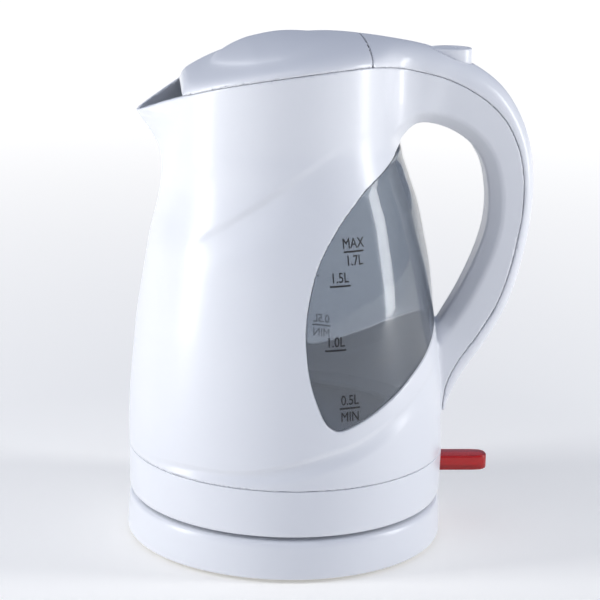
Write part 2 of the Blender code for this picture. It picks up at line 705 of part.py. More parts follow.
def window_solid(name, inner, outer, shrink, columns=28):
    """Leaf-shaped piece of the jug's wall that wraps round the back under the handle.

    inner and outer are its faces' distances from the jug's outer face, shrink insets its edge.
    """
    narrowing = 1 - shrink / 95.0
    rings = []
    for side in np.linspace(-1, 1, columns + 1):
        deg = WINDOW_ANGLE * math.sin(side * math.pi / 2) * 0.9995
        low, high = float(window_low(abs(deg))), float(window_high(abs(deg)))
        half = max((high - low) / 2, 0.6) - shrink
        heights = (low + high) / 2 + half * np.linspace(-1, 1, 7)
        a = math.radians(deg * narrowing)
        out = [jug_point(a, z, -outer) for z in heights]
        back = [jug_point(a, z, -inner) for z in heights]
        rings.append([*out, *back[::-1]])
    return loft(name, rings, smoked_clear(), folded=True)


def water_window():
    return window_solid("water_window", -WINDOW_WALL, -0.05, GAP + 0.12)


def crown_ring(ridge, seam, half_width, lift):
    """Folded half-ring of a crowned section: from the seam over the ridge to the other seam."""
    ridge, seam = np.asarray(ridge), np.asarray(seam)
    depth = np.linalg.norm(ridge - seam)
    start = lift / depth
    points = []
    for t in np.linspace(0, math.pi, 11):
        c, s = math.cos(t), math.sin(t)
        y = half_width * math.copysign(abs(c) ** (2 / CROWN), c)
        rise = start + (1 - start) * abs(s) ** (2 / CROWN)
        x, z = seam + (ridge - seam) * rise
        points.append((x, y, z))
    return points


def handle_cover():
    """Outer half of the handle, from the lid's edge down to the tail."""
    rings = []
    for ridge, seam, _, w in handle_stations(27)[:-1]:
        depth = np.linalg.norm(ridge - seam)
        wall = min(SHELL, 0.45 * w, 0.45 * depth)
        inner_ridge = ridge - (ridge - seam) * wall / depth
        out = crown_ring(ridge, seam, w, 0.25)
        back = crown_ring(inner_ridge, seam, w - wall, 0.25)
        rings.append([*out, *back[::-1]])
    cover = loft("handle_cover", rings, white_plastic(), folded=True)
    hole = ellipse(BUTTON, BUTTON_A + 0.5, BUTTON_B + 0.5)
    return cut(cover, prism("button_hole", hole, 225, 262, white_plastic()),
               block("cover_front_trim", (20, -60, 225), (LID_BACK + 0.45, 60, 262),
                     white_plastic()))


# ---------------------------------------------------------------- lid

def lid_section(x, drop, wall):
    """Closed ring of the lid at x: crown above, flat below; wall insets it."""
    w = rim_half_width(x, wall)
    seam = float(rim_height(x))
    ridge = float(lid_ridge(x)) - wall
    half = []
    for t in np.linspace(0, math.pi / 2, 8):
        y = w * math.cos(t) ** (2 / CROWN)
        z = seam + 0.25 + (ridge - seam - 0.25) * math.sin(t) ** (2 / CROWN)
        half.append((x, y, z))
    half[-1] = (x, 0.0, ridge)
    return mirrored_ring([(x, w, seam + 0.25 - drop), *half[1:]])


def hinge_barrel(name, slack):
    """Solid swept by the cover's front edge about the hinge, plus slack."""
    hx, _, hz = HINGE
    rings = []
    for y in np.linspace(-60, 60, 13):
        w = rim_half_width(LID_BACK)
        u = min(abs(y) / w, 1.0)
        seam = float(rim_height(LID_BACK))
        ridge = float(lid_ridge(LID_BACK))
        top = seam + (ridge - seam) * (1 - u ** CROWN) ** (1 / CROWN)
        r = math.hypot(hx - LID_BACK, top - hz) + slack
        turn = [2 * math.pi * k / 32 for k in range(32)]
        rings.append([(hx + r * math.cos(t), y, hz + r * math.sin(t)) for t in turn])
    return loft(name, rings, white_plastic())


def lid_cover():
    stations = np.concatenate([[LID_FRONT, LID_FRONT + 0.8], np.linspace(-52.5, 31, 13), [LID_BACK]])
    rings = [lid_section(x, 0.0, 0.0) for x in stations]
    lid = loft("lid_cover", rings, white_plastic(), True)
    inner = [lid_section(x, 3.0, SHELL) for x in np.linspace(LID_FRONT + SHELL, 25.0, 10)]
    cut(lid, loft("lid_hollow", inner, white_plastic(), True))
    cut(lid, hinge_barrel("lid_seam_sweep", 0.2))
    bosses = []
    for k, (x, y) in enumerate(LID_SCREWS):
        top = float(lid_ridge(x)) - (2.4 if y else 1.2)
        low = float(rim_height(x + 3.4)) - 0.3
        bosses.append(turned(f"lid_boss_{k}", [(1.5, low), (3.4, low), (3.4, top), (1.5, top)],
                             white_plastic(), 16, (x, y)))
    return join(lid, *bosses)


def lid_inner_plate():
    """Plate under the lid with the two hinge arms."""
    rings = []
    for x in np.linspace(LID_FRONT + 5.0, 27.0, 17):
        w = rim_half_width(x, WALL + 0.8)
        high = float(rim_height(x)) - 0.7
        rings.append(mirrored_ring([(x, w, high), (x, w, high - 2.2)]))
    plate = loft("lid_inner_plate", rings, white_plastic(), True)
    hx, _, hz = HINGE
    path = [(24.0, 242.6), (24.6, 229.0), (27.0, 226.2), (31.0, 226.6), (36.6, 231.0), (hx, hz)]
    for s in (-1, 1):
        low, high = sorted((s * ARM_Y[0], s * ARM_Y[1]))
        join(plate, prism(f"hinge_arm_{s}", thick_path(path, 2.0), low, high, white_plastic(),
                          "y"))
        join(plate, prism(f"hinge_knuckle_{s}", ellipse((hx, hz), 4.0, 4.0, 20), low, high,
                          white_plastic(), "y"))
    cut(plate, rod("knuckle_bore", (hx, -21, hz), (hx, 21, hz), PIN_R + GAP, white_plastic(), 16))
    ways = []
    for k, (x, y) in enumerate(LID_SCREWS):
        ways.append(rod(f"lid_screw_way_{k}", (x, y, 220), (x, y, 250), 1.2 + GAP,
                        white_plastic(), 16))
    return cut(plate, *ways)


def thick_path(path, half):
    """Outline of a bar of constant thickness along an open path."""
    p = np.asarray(path, float)
    step = np.diff(p, axis=0)
    step /= np.linalg.norm(step, axis=1)[:, None]
    normal = np.stack([-step[:, 1], step[:, 0]], 1)
    mean = np.vstack([normal[0], normal[:-1] + normal[1:], normal[-1]])
    scale = np.ones(len(p))
    for k in range(1, len(p) - 1):
        mean[k] /= np.linalg.norm(mean[k])
        scale[k] = 1 / max(float(mean[k] @ normal[k]), 0.6)
    side = mean * scale[:, None] * half
    return [tuple(q) for q in np.vstack([p + side, (p - side)[::-1]])]


def lid_screws():
    made = []
    for k, (x, y) in enumerate(LID_SCREWS):
        head = float(rim_height(x - 2.6)) - 2.9 - 0.4 - 1.8
        tip = float(rim_height(x)) + 3.6
        made.append(screw(f"lid_screw_{k + 1}", (x, y), head, tip, 2.6, 1.2))
    return made


def hinge_parts():
    x, _, z = HINGE
    rod("hinge_pin", (x, -PIN_END, z), (x, PIN_END, z), PIN_R, steel(), 16)
    coil("hinge_spring", HINGE, 2.8, 0.45, -10.4, 10.4, 8, steel(), "y", 8)


# ---------------------------------------------------------------- button, latch and steam way

def lid_button():
    skirt_low = 232.2
    cap = prism("lid_button", ellipse(BUTTON, BUTTON_A, BUTTON_B), skirt_low, BUTTON_TOP,
                white_plastic())
    join(cap, prism("button_flange", ellipse(BUTTON, BUTTON_A + 1.3, BUTTON_B + 1.3), skirt_low,
                    skirt_low + 1.8, white_plastic()))
    cut(cap, prism("button_hollow", ellipse(BUTTON, BUTTON_A - 1.9, BUTTON_B - 1.9), 228,
                   BUTTON_TOP - 2.2, white_plastic()))
    coil("button_spring", BUTTON, 4.4, 0.5, CARRIER_TOP + GAP, BUTTON_TOP - 2.2 - GAP, 6, steel())
    return cap


def lid_latch():
    """Flat slider with a hole round the button's spring and a hook towards the hinge arms."""
    low, high = CARRIER_TOP + GAP, CARRIER_TOP + GAP + 2.6
    outline = [(51.0, -3.0), (54.0, -5.0), (66.0, -5.0), (69.0, -8.5), (86.0, -8.5), (86.0, 8.5),
               (69.0, 8.5), (66.0, 5.0), (54.0, 5.0), (51.0, 3.0)]
    latch = prism("lid_latch", outline, low, high, black_plastic())
    hole = prism("latch_hole", ellipse((BUTTON[0] - 1.5, 0), 7.2, 5.6, 24), low - 2, high + 2,
                 black_plastic())
    return cut(latch, hole)


def latch_carrier():
    """Tray on the handle's floor that guides the latch and seats the button's spring."""
    tray = block("latch_carrier", (56.0, -9.6, CARRIER_TOP - 2.2), (88.0, 9.6, CARRIER_TOP),
                 black_plastic())
    for s in (-1, 1):
        low, high = sorted((s * 8.8, s * 10.8))
        join(tray, block(f"carrier_wall_{s}", (56.0, low, CARRIER_TOP - 2.2),
                         (88.0, high, CARRIER_TOP + 2.4), black_plastic()))
        low, high = sorted((s * 6.6, s * 9.6))
        join(tray, block(f"carrier_leg_{s}", (60.0, low, 215.4), (66.0, high, CARRIER_TOP - 1),
                         black_plastic()))
    return tray


def steam_tube():
    """Hose that takes steam from behind the lid down the handle to the switch."""
    stations = handle_stations(34)[5:-9]
    route = []
    for _, seam, inner, _ in stations:
        x, z = inner + (seam - inner) * (SHELL + 3.6) / np.linalg.norm(seam - inner)
        route.append((x, 0, z))
    curve = bpy.data.curves.new("steam_tube", "CURVE")
    curve.dimensions = "3D"
    curve.bevel_depth = 2.7 * MM
    curve.bevel_resolution = 2
    curve.use_fill_caps = True
    spline = curve.splines.new("POLY")
    spline.points.add(len(route) - 1)
    for point, place in zip(spline.points, route):
        point.co = (*(Vector(place) * MM), 1.0)
    ob = bpy.data.objects.new("steam_tube", curve)
    curve.materials.append(silicone())
    bpy.context.scene.collection.objects.link(ob)


def spout_filter():
    """Slide-in frame and its mesh between the rails behind the spout."""
    white = white_plastic()
    low, high = (-55.9, -19.1, 192.3), (-53.7, 19.1, 213.0)
    frame = block("spout_filter_frame", low, high, white)
    cut(frame, block("filter_opening", (-60, -15.5, 194.6), (-50, 15.5, 210.8), white))
    mesh = block("filter_mesh", (-55.2, -15.2, 194.9), (-54.5, 15.2, 210.5), silicone())
    slots = []
    for k in range(7):
        y = -12.9 + 4.3 * k
        slots.append(block(f"mesh_slot_{k}", (-58, y - 1.4, 196.4), (-52, y + 1.4, 209.0), white))
    cut(mesh, *slots)


def main():
    for ob in list(bpy.data.objects):
        bpy.data.objects.remove(ob, do_unlink=True)
    base_shell()
    base_bottom_plate()
    feet()
    base_screws()
    base_socket()
    lower_housing()
    heater()
    controller()
    housing_screws()
    switch()
    body_shell()
    water_window()
    handle_cover()
    steam_tube()
    latch_carrier()
    spout_filter()
    hinge_parts()
    lid = [lid_cover(), lid_inner_plate(), *lid_screws()]
    pivot("lid_axis", HINGE, lid)
    pivot("button_axis", (*BUTTON, BUTTON_TOP), [lid_button()])
    pivot("latch_axis", (60.0, 0.0, CARRIER_TOP), [lid_latch()])


main()
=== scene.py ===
"""Visual model of a cordless jug kettle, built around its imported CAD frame.

Lengths are millimetres in the CAD frame until publish() turns them into metres. The spout points
to -X, the handle to +X, and +Y is the far side.
"""

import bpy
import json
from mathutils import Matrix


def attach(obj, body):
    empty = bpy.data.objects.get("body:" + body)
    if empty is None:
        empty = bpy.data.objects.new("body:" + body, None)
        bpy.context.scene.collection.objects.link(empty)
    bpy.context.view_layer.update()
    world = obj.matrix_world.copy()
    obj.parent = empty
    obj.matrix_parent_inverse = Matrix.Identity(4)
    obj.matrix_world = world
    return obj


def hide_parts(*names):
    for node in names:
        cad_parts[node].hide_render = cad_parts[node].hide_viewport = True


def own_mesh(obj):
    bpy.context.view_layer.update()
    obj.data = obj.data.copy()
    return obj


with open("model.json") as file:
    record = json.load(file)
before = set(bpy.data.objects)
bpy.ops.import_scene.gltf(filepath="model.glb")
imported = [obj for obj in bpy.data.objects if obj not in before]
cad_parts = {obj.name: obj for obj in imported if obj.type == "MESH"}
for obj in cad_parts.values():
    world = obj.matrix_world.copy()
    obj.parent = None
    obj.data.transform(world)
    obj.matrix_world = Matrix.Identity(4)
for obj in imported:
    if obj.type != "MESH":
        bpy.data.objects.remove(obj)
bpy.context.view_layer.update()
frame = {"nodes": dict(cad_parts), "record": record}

import json
import math
from functools import reduce

import bmesh
import bpy
import numpy as np
from mathutils import Matrix, Vector

MM = 0.001
WALL = 2.6
SHELL = 2.4
SEAM = 0.08                    # half of the gap that shows between mouldings

SPOUT_SIDE = [(-79.5, 40), (-79.5, 60), (-78.1, 86), (-75.2, 118), (-70.9, 149), (-66.1, 172),
              (-64.5, 185), (-65.6, 197), (-69.3, 204.5), (-73.8, 211), (-77.2, 215.9), (-78, 222),
              (-78, 260)]
HANDLE_SIDE = [(79.6, 40), (79.0, 56), (77.2, 80), (75.4, 98), (73.3, 114), (70.2, 138.7),
               (66.5, 156.6), (62.6, 172.8), (57.3, 187.7), (54.0, 198), (52.0, 212), (51.0, 260)]
HALF_BREADTH = [(79.5, 40), (79.2, 60), (77.6, 86), (74.2, 118), (69.6, 149), (64.4, 172),
                (61.2, 185), (59.2, 198), (58.0, 212), (57.0, 260)]
SPOUT_ROUNDING = 0.10
SPOUT_PINCH = 1.3
RIM = [(-90, 209), (-77.2, 215.9), (-66, 222.0), (-55.5, 227.2), (-43, 232.4), (-29.4, 236.4),
       (-11.2, 240.1), (7.4, 242.7), (22, 243.8)]
LID_FRONT = -55.5
LID_BACK = 33.5
LID_RIDGE = [(-58, 228.6), (-55.3, 232.4), (-52.6, 235.4), (-43.2, 240.3), (-26.3, 247.7),
             (-17.7, 250.3), (-5.5, 252.6), (12.1, 253.5), (24, 253.4)]
CROWN = 2.25
HANDLE = [
    ((33.5, 252.8), (33.5, 243.8), (38.0, 196.0), 41.6),
    ((46.0, 252.2), (46.0, 241.6), (52.0, 207.5), 26.2),
    ((60.0, 250.3), (59.5, 238.6), (60.0, 212.3), 18.5),
    ((74.0, 246.6), (72.0, 235.3), (68.5, 211.8), 16.0),
    ((89.9, 239.4), (85.0, 229.5), (78.4, 208.3), 15.3),
    ((102.8, 229.8), (97.3, 220.9), (87.6, 201.8), 14.8),
    ((112.0, 216.8), (105.8, 210.6), (94.0, 192.0), 14.4),
    ((118.0, 201.5), (111.6, 196.8), (97.0, 180.0), 14.1),
    ((120.5, 183.5), (114.1, 180.5), (97.7, 168.5), 13.9),
    ((119.9, 163.5), (113.5, 163.5), (96.2, 156.5), 13.6),
    ((116.3, 141.0), (109.6, 141.0), (91.8, 142.5), 13.2),
    ((110.0, 119.0), (104.0, 122.3), (84.5, 126.0), 12.6),
    ((100.0, 99.8), (95.6, 106.4), (75.4, 109.5), 11.6),
    ((89.6, 83.1), (87.0, 92.5), (70.0, 97.0), 9.8),
    ((83.0, 69.2), (81.2, 78.4), (68.0, 82.5), 7.5),
    ((80.2, 57.5), (79.6, 63.2), (68.0, 69.0), 4.5),
]
WINDOW_ANGLE = 87.0
WINDOW_LOW = [(0, 113.5), (12.4, 110.8), (21, 106.6), (28, 103), (40, 96), (49, 89.7), (58, 83.8),
              (64, 80), (71.4, 76.2), (75.5, 75.4), (78.5, 77.6), (80.7, 81.7), (82.8, 88.6),
              (84.8, 97), (86.1, 107), (WINDOW_ANGLE, 122)]
WINDOW_HIGH = [(0, 203.5), (18.9, 201.5), (30, 197.6), (48.7, 190.1), (58.3, 184.7), (69.2, 175.2),
               (76, 166), (81.1, 155.7), (84.1, 146.2), (86.2, 135), (WINDOW_ANGLE, 122)]
HINGE = (45.5, 0.0, 243.0)
BUTTON = (76.3, 0.0)
GRIP_ROOT_X = 22.0             # the handle's own form ends here, inside the jug
GRIP_TAIL_Z = 61.5             # and here at its lower end
MEAN_RADIUS = 70.0             # of the jug where the window is
JUG_BOTTOM = 46.45
SWITCH = (66.0, 0.0, 34.9)
PIN_BORE_R = 1.5


# ---------- curves

def smooth(points, per_span=8):
    """Points of a Catmull-Rom curve through the given points, ends included."""
    p = np.asarray(points, float)
    p = np.vstack([2 * p[0] - p[1], p, 2 * p[-1] - p[-2]])
    out = []
    for i in range(1, len(p) - 2):
        for t in np.arange(per_span) / per_span:
            a = 2 * p[i]
            b = p[i + 1] - p[i - 1]
            c = 2 * p[i - 1] - 5 * p[i] + 4 * p[i + 1] - p[i + 2]
            d = -p[i - 1] + 3 * p[i] - 3 * p[i + 1] + p[i + 2]
            out.append(0.5 * (a + b * t + c * t ** 2 + d * t ** 3))
    out.append(p[-2])
    return np.array(out)


def reader(points, along=1):
    """Function of one coordinate that reads the other off the smooth curve."""
    curve = smooth(points, 12)
    return lambda v: np.interp(v, curve[:, along], curve[:, 1 - along])


spout_side = reader(SPOUT_SIDE)
handle_side = reader(HANDLE_SIDE)
half_breadth = reader(HALF_BREADTH)
rim_height = reader([*RIM, *[seam for _, seam, _, _ in HANDLE[:4]]], along=0)
window_low = reader(WINDOW_LOW, along=0)
window_high = reader(WINDOW_HIGH, along=0)


def jug_section(z):
    """Centre and radius of the jug's round part at a height, and how far the spout reaches."""
    radius = half_breadth(z)
    centre = handle_side(z) - radius
    return centre, radius, np.maximum(centre - spout_side(z), radius)


def jug_radius(angle, z):
    """Distance from the section's centre to the jug's outer face."""
    _, radius, reach = jug_section(z)
    spread = np.arccos(radius / reach)
    off = np.abs(np.remainder(angle, 2 * np.pi) - np.pi)
    soft = np.sqrt(off ** 2 + SPOUT_ROUNDING ** 2) - SPOUT_ROUNDING
    beak = radius / np.cos(np.maximum(spread - soft, 0.0)) - radius
    tip = np.maximum(reach - radius, 1e-6)
    return radius + np.where(beak > 1e-6, tip * (np.maximum(beak, 0) / tip) ** SPOUT_PINCH, 0.0)


def jug_points(angle, z, inset=0.0):
    """Points on the jug's outer face, moved inwards by inset."""
    angle, z = np.broadcast_arrays(np.asarray(angle, float), np.asarray(z, float))
    r = jug_radius(angle, z) + swoosh(angle, z) - inset
    return np.stack([jug_section(z)[0] + r * np.cos(angle), r * np.sin(angle), z], -1)


# ---------- soft lines pressed into the jug

# Points (x, |y|, z) along each line, and how strongly it shows there
UPPER_LINE = [(-52, 43, 159.5, 0.0), (-49, 46, 162.5, 0.15), (-40, 52, 169.7, 0.62),
              (-28.6, 57, 178, 1.0), (-17, 60, 186.4, 1.0), (-5.7, 60, 194.6, 0.6),
              (17.9, 53, 209.7, 0.18), (30.4, 45, 214.5, 0.12), (44, 29, 218, 0.0)]
LOWER_LINE = [(-77.7, 16, 47, 0.0), (-70, 37, 50.5, 0.5), (-57, 55, 53.8, 0.9),
              (-28, 74, 55.9, 1.0), (-9, 79, 59.9, 1.0), (15, 77, 66.3, 0.9),
              (29, 73, 70.3, 0.7), (50, 59, 80.8, 0.45), (68, 34, 93.4, 0.25), (75, 10, 98, 0.2)]


def line_reader(points):
    """Height and strength of a pressed line as functions of the angle from the handle's plane."""
    rows = []
    for x, y, z, strength in points:
        rows.append((math.atan2(y, x - float(jug_section(z)[0])), z, strength))
    curve = smooth(sorted(rows), 12)
    return (lambda a: np.interp(a, curve[:, 0], curve[:, 1]),
            lambda a: np.interp(a, curve[:, 0], curve[:, 2], left=0.0, right=0.0))


upper_line = line_reader(UPPER_LINE)
lower_line = line_reader(LOWER_LINE)


def pressed(t, crisp, soft):
    """Depth from a crisp line at t = 0: full at crisp below it, then fading out over soft."""
    near = np.clip(-t / crisp, 0, 1)
    far = np.clip(1 + (t + crisp) / soft, 0, 1)
    s = np.where(t > -crisp, near, far)
    return s * s * (3 - 2 * s)


def swoosh(angle, z):
    """Outward shift of the jug's face: two soft lines pressed into each flank."""
    a = np.abs(np.remainder(angle + np.pi, 2 * np.pi) - np.pi)
    up = upper_line[1](a) * pressed(z - upper_line[0](a), 5.0, 18.0)
    low = lower_line[1](a) * pressed(z - lower_line[0](a), 3.6, 8.0)
    low = low * np.clip((z - 46.6) / 6.0, 0, 1)        # none at the seam with the skirt
    return -(1.3 * up + 1.5 * low)


# ---------- fields: negative inside

def common(*fields):
    """What lies inside every one of the fields."""
    return reduce(np.maximum, fields)


def smin(a, b, k):
    h = np.maximum(k - np.abs(a - b), 0.0) / k
    return np.minimum(a, b) - h * h * k * 0.25


def smax(a, b, k):
    return -smin(-a, -b, k)


def blurred(grid, cells):
    """Grid smoothed over a few cells each way, so that a curve's corners don't show."""
    kernel = np.hanning(2 * cells + 3)[1:-1]
    kernel /= kernel.sum()
    for _ in (0, 1):
        padded = np.pad(grid, ((cells, cells), (0, 0)), "edge")
        grid = sum(k * padded[i:i + len(grid)] for i, k in enumerate(kernel)).T
    return grid


class PlaneMap:
    """Values kept on an x-z grid and read back between its points."""

    def __init__(self, low, high, step):
        self.low, self.step = np.array(low, float), step
        n = [int(math.ceil((high[i] - low[i]) / step)) + 1 for i in (0, 1)]
        self.x = self.low[0] + step * np.arange(n[0])
        self.z = self.low[1] + step * np.arange(n[1])
        self.kept = {}

    def along(self, name, curve):
        """Keep the signed distance to a curve, and where along it the nearest point is."""
        X, Z = np.meshgrid(self.x, self.z, indexing="ij")
        points = np.stack([X.ravel(), Z.ravel()], 1).astype(np.float32)
        best = np.full(len(points), 1e9, np.float32)
        side = np.ones(len(points), np.float32)
        where = np.zeros(len(points), np.float32)
        for i in range(len(curve) - 1):
            a = curve[i].astype(np.float32)
            d = (curve[i + 1] - curve[i]).astype(np.float32)
            rel = points - a
            t = np.clip(rel @ d / float(d @ d), 0, 1)
            gap = np.hypot(rel[:, 0] - t * d[0], rel[:, 1] - t * d[1])
            closer = gap < best
            best = np.where(closer, gap, best)
            cross = d[0] * rel[:, 1] - d[1] * rel[:, 0]
            side = np.where(closer, np.sign(cross), side)
            where = np.where(closer, i + t, where)
        self.kept[name] = blurred((best * side).reshape(X.shape), 3)
        self.kept[name + "_at"] = blurred(where.reshape(X.shape), 9)

    def read(self, name, x, z):
        grid = self.kept[name]
        u = np.clip((x - self.low[0]) / self.step, 0, grid.shape[0] - 1.001)
        v = np.clip((z - self.low[1]) / self.step, 0, grid.shape[1] - 1.001)
        i, j = u.astype(int), v.astype(int)
        u, v = u - i, v - j
        return ((grid[i, j] * (1 - u) + grid[i + 1, j] * u) * (1 - v)
                + (grid[i, j + 1] * (1 - u) + grid[i + 1, j + 1] * u) * v)


PER = 8
seam_curve = smooth([*RIM, *[s for _, s, _, _ in HANDLE], (80.6, 55), (83, 40)], PER)
ridge_curve = smooth([(-61, 225), *LID_RIDGE, *[r for r, _, _, _ in HANDLE], (80.0, 51)], PER)
inner_curve = smooth([(20, 168), *[i for _, _, i, _ in HANDLE], (66, 60)], PER)
inner_width = smooth(list(enumerate([20.0, *[min(w, 20.0) for *_, w in HANDLE], 4.0])), PER)
plane = PlaneMap((-92, 36), (126, 262), 0.5)
plane.along("seam", seam_curve)
plane.along("ridge", ridge_curve)
plane.along("inner", inner_curve)


def jug_field(p):
    x, y, z = p.T
    centre = jug_section(z)[0]
    angle = np.arctan2(y, x - centre)
    return (np.hypot(x - centre, y) - jug_radius(angle, z) - swoosh(angle, z)) * 0.985


def grip_field(p, trim=0.0, bevel=6.2):
    """The handle from its inner edge outwards, trimmed on its inner edge and flanks."""
    x, y, z = p.T
    edge = np.maximum(-plane.read("inner", x, z), GRIP_ROOT_X - x) + trim
    w = np.interp(plane.read("inner_at", x, z) / PER, inner_width[:, 0], inner_width[:, 1])
    bevel = np.minimum(bevel, 0.5 * w)
    flank = np.abs(y) - w + trim
    chamfer = (edge + flank + bevel) * 0.7071
    bar = smax(smax(edge, flank, 1.0), chamfer, 1.2)
    return smax(bar, GRIP_TAIL_Z - z, 2.0)


def root_blend(z):
    """How softly the handle flows into the jug: broad at the shoulder, tight in the loop."""
    return np.interp(z, [90, 125, 190, 203, 213, 224], [3.0, 4.0, 4.0, 5.0, 10.0, 13.0])


def moulding_field(p):
    """Jug and handle flowing into each other, before anything is hollowed or parted."""
    z = p[:, 2]
    return smin(jug_field(p), grip_field(p), root_blend(z))


def seam_half_widths():
    """Half width of jug or handle all along the parting line."""
    ys = np.arange(0.0, 84.0, 0.25)
    widths = []
    for x, z in seam_curve:
        line = np.stack([np.full(len(ys), x), ys, np.full(len(ys), z - 0.2)], 1)
        f = moulding_field(line)
        last = int(np.max(np.nonzero(f < 0)[0], initial=0))
        if last + 1 < len(ys) and f[last] < 0:
            widths.append(ys[last] + 0.25 * f[last] / (f[last] - f[last + 1]))
        else:
            widths.append(ys[last])
    return np.array(widths)


seam_width = seam_half_widths()
seam_width = np.where(np.arange(len(seam_width)) > 22 * PER, np.maximum(seam_width, 4.0),
                      seam_width)


def leaf_field(angle, z):
    """Signed distance, along the jug's face, to the outline of the water window."""
    deg = np.degrees(np.abs(angle))
    low, high = window_low(deg), window_high(deg)
    middle = 0.5 * (low + high)
    half = np.maximum(0.5 * (high - low), 0.01)
    slope = np.where(z < middle, *[np.interp(deg, LEAF_DEG, s) for s in LEAF_SLOPES])
    d = (np.abs(z - middle) - half) / np.sqrt(1 + slope ** 2)
    return np.maximum(d, (deg - WINDOW_ANGLE) * 1.2)


LEAF_DEG = np.linspace(0, WINDOW_ANGLE, 400)
LEAF_SLOPES = [np.gradient(edge(LEAF_DEG), np.radians(LEAF_DEG) * MEAN_RADIUS)
               for edge in (window_low, window_high)]


def box_pair(p, low, high):
    """A box and its mirror image over the plane y = 0."""
    q = np.stack([p[:, 0], np.abs(p[:, 1]), p[:, 2]], 1)
    low, high = np.array(low, float), np.array(high, float)
    return np.max(np.abs(q - 0.5 * (low + high)) - 0.5 * (high - low), axis=1)


def body_field(p):
    """Jug, spout and the jug-side half of the handle, with everything that is hollow in it."""
    x, y, z = p.T
    jug = jug_field(p)
    parting = plane.read("seam", x, z)
    solid = smin(jug, grip_field(p), root_blend(z))
    angle = np.arctan2(y, x - jug_section(z)[0])
    leaf = common(leaf_field(angle, z), jug - 3.0, -(jug + 8.0))
    solid = smax(solid, -leaf, 0.7)
    water = np.maximum(jug + WALL, -np.maximum(29.0 - x, 199.5 - z))
    compartment = common(jug + WALL, 31.4 - x, 202.0 - z)
    at = plane.read("seam_at", x, z) / PER
    channel = common(grip_field(p, SHELL), (at - 21.4) * 8.0, 34.0 - x)
    partition = common(26.5 - x, x - 33.5, np.abs(y) - 34, 222.4 - z)
    hollow = reduce(np.minimum, (water, compartment, channel, partition))
    solid = smax(solid, -hollow, 0.8)
    solid = smax(solid, parting + SEAM, 0.55)
    r = np.hypot(x, y)
    flange = common(62 - r, jug + 1.0, np.abs(z - 59.2) - 1.2)
    solid = smin(solid, flange, 0.8)
    hx, _, hz = HINGE
    eye = np.hypot(x - hx, z - hz)
    upright = common(np.abs(x - hx + 0.8) - 3.2, 201.0 - z, z - hz)
    lug = smax(np.minimum(eye - 3.7, upright), np.maximum(16.3 - np.abs(y), np.abs(y) - 19.6), 0.6)
    lug = np.maximum(lug, 1.9 - eye)
    rail = box_pair(p, (-57.6, 17.0, 190), (-52.0, 25.5, 214))
    rail = np.maximum(rail, jug + 1.0)
    rail = smax(rail, -box_pair(p, (-56.2, 16, 192), (-53.4, 19.4, 220)), 0.4)
    solid = smin(np.minimum(solid, lug), rail, 1.0)
    return smax(solid, JUG_BOTTOM - z, 0.5)


def crown_field(p):
    """Crowned form over the parting line: lid in front, handle cover behind."""
    x, y, z = p.T
    rise = plane.read("seam", x, z)
    room = np.maximum(rise - plane.read("ridge", x, z), 1.5)
    at = plane.read("seam_at", x, z)
    a = np.maximum(np.interp(at, np.arange(len(seam_width)), seam_width), 1.5)
    v = np.maximum(rise, 0.0) / room
    u = np.abs(y) / a
    g = (u ** CROWN + v ** CROWN) ** (1 / CROWN)
    g = np.maximum(g, 1e-4)
    slope = np.hypot((u / g) ** (CROWN - 1) / a, (v / g) ** (CROWN - 1) / room)
    return (g - 1) / np.maximum(slope, 1e-4)


def hinge_barrel(p, slack):
    """What the cover's front edge sweeps as the lid turns."""
    x, y, z = p.T
    hx, _, hz = HINGE
    w = float(np.interp(LID_BACK, seam_curve[:150, 0], seam_width[:150]))
    top = 243.8 + 9.0 * (1 - np.minimum(np.abs(y) / w, 1) ** CROWN) ** (1 / CROWN)
    return np.hypot(x - hx, z - hz) - np.hypot(hx - LID_BACK, top - hz) - slack


def lid_field(p):
    x, y, z = p.T
    rise = plane.read("seam", x, z)
    crown = crown_field(p)
    fade = np.interp(x, [-56, -46, -10, 22, 32], [0.6, 1.0, 0.85, 0.3, 0.0])
    height = np.interp(x, [-56, -10, 20], [5.4, 6.0, 9.0])
    crown = crown + 1.7 * fade * np.exp(-((rise - height) / 1.9) ** 2)
    solid = smax(crown, LID_FRONT - x + 0.12 * (rise - 1.0), 2.4)
    solid = smax(solid, SEAM - rise, 0.5)
    return smax(solid, -hinge_barrel(p, 0.1), 0.4)


def cover_field(p):
    x, y, z = p.T
    rise = plane.read("seam", x, z)
    crown = crown_field(p)
    at = plane.read("seam_at", x, z) / PER
    inside = np.maximum(crown + SHELL, (at - 22.4) * 8.0)
    solid = smax(crown, -inside, 0.4)
    solid = smax(solid, SEAM - rise, 0.45)
    solid = smax(solid, LID_BACK + 0.1 - x, 0.5)
    bx, by = BUTTON
    e = np.hypot((x - bx) / 11.4, (y - by) / 8.5)
    hole = np.maximum((e - 1) * 9.0, 226.0 - z)
    solid = smax(solid, -hole, 0.9)
    tip = np.hypot(y / 6.4, np.maximum(at - 23.3, 0) / 0.85) - 1
    return smax(solid, np.where(at > 23.3, tip * 5.0, -5.0), 0.4)


# ---------- meshes

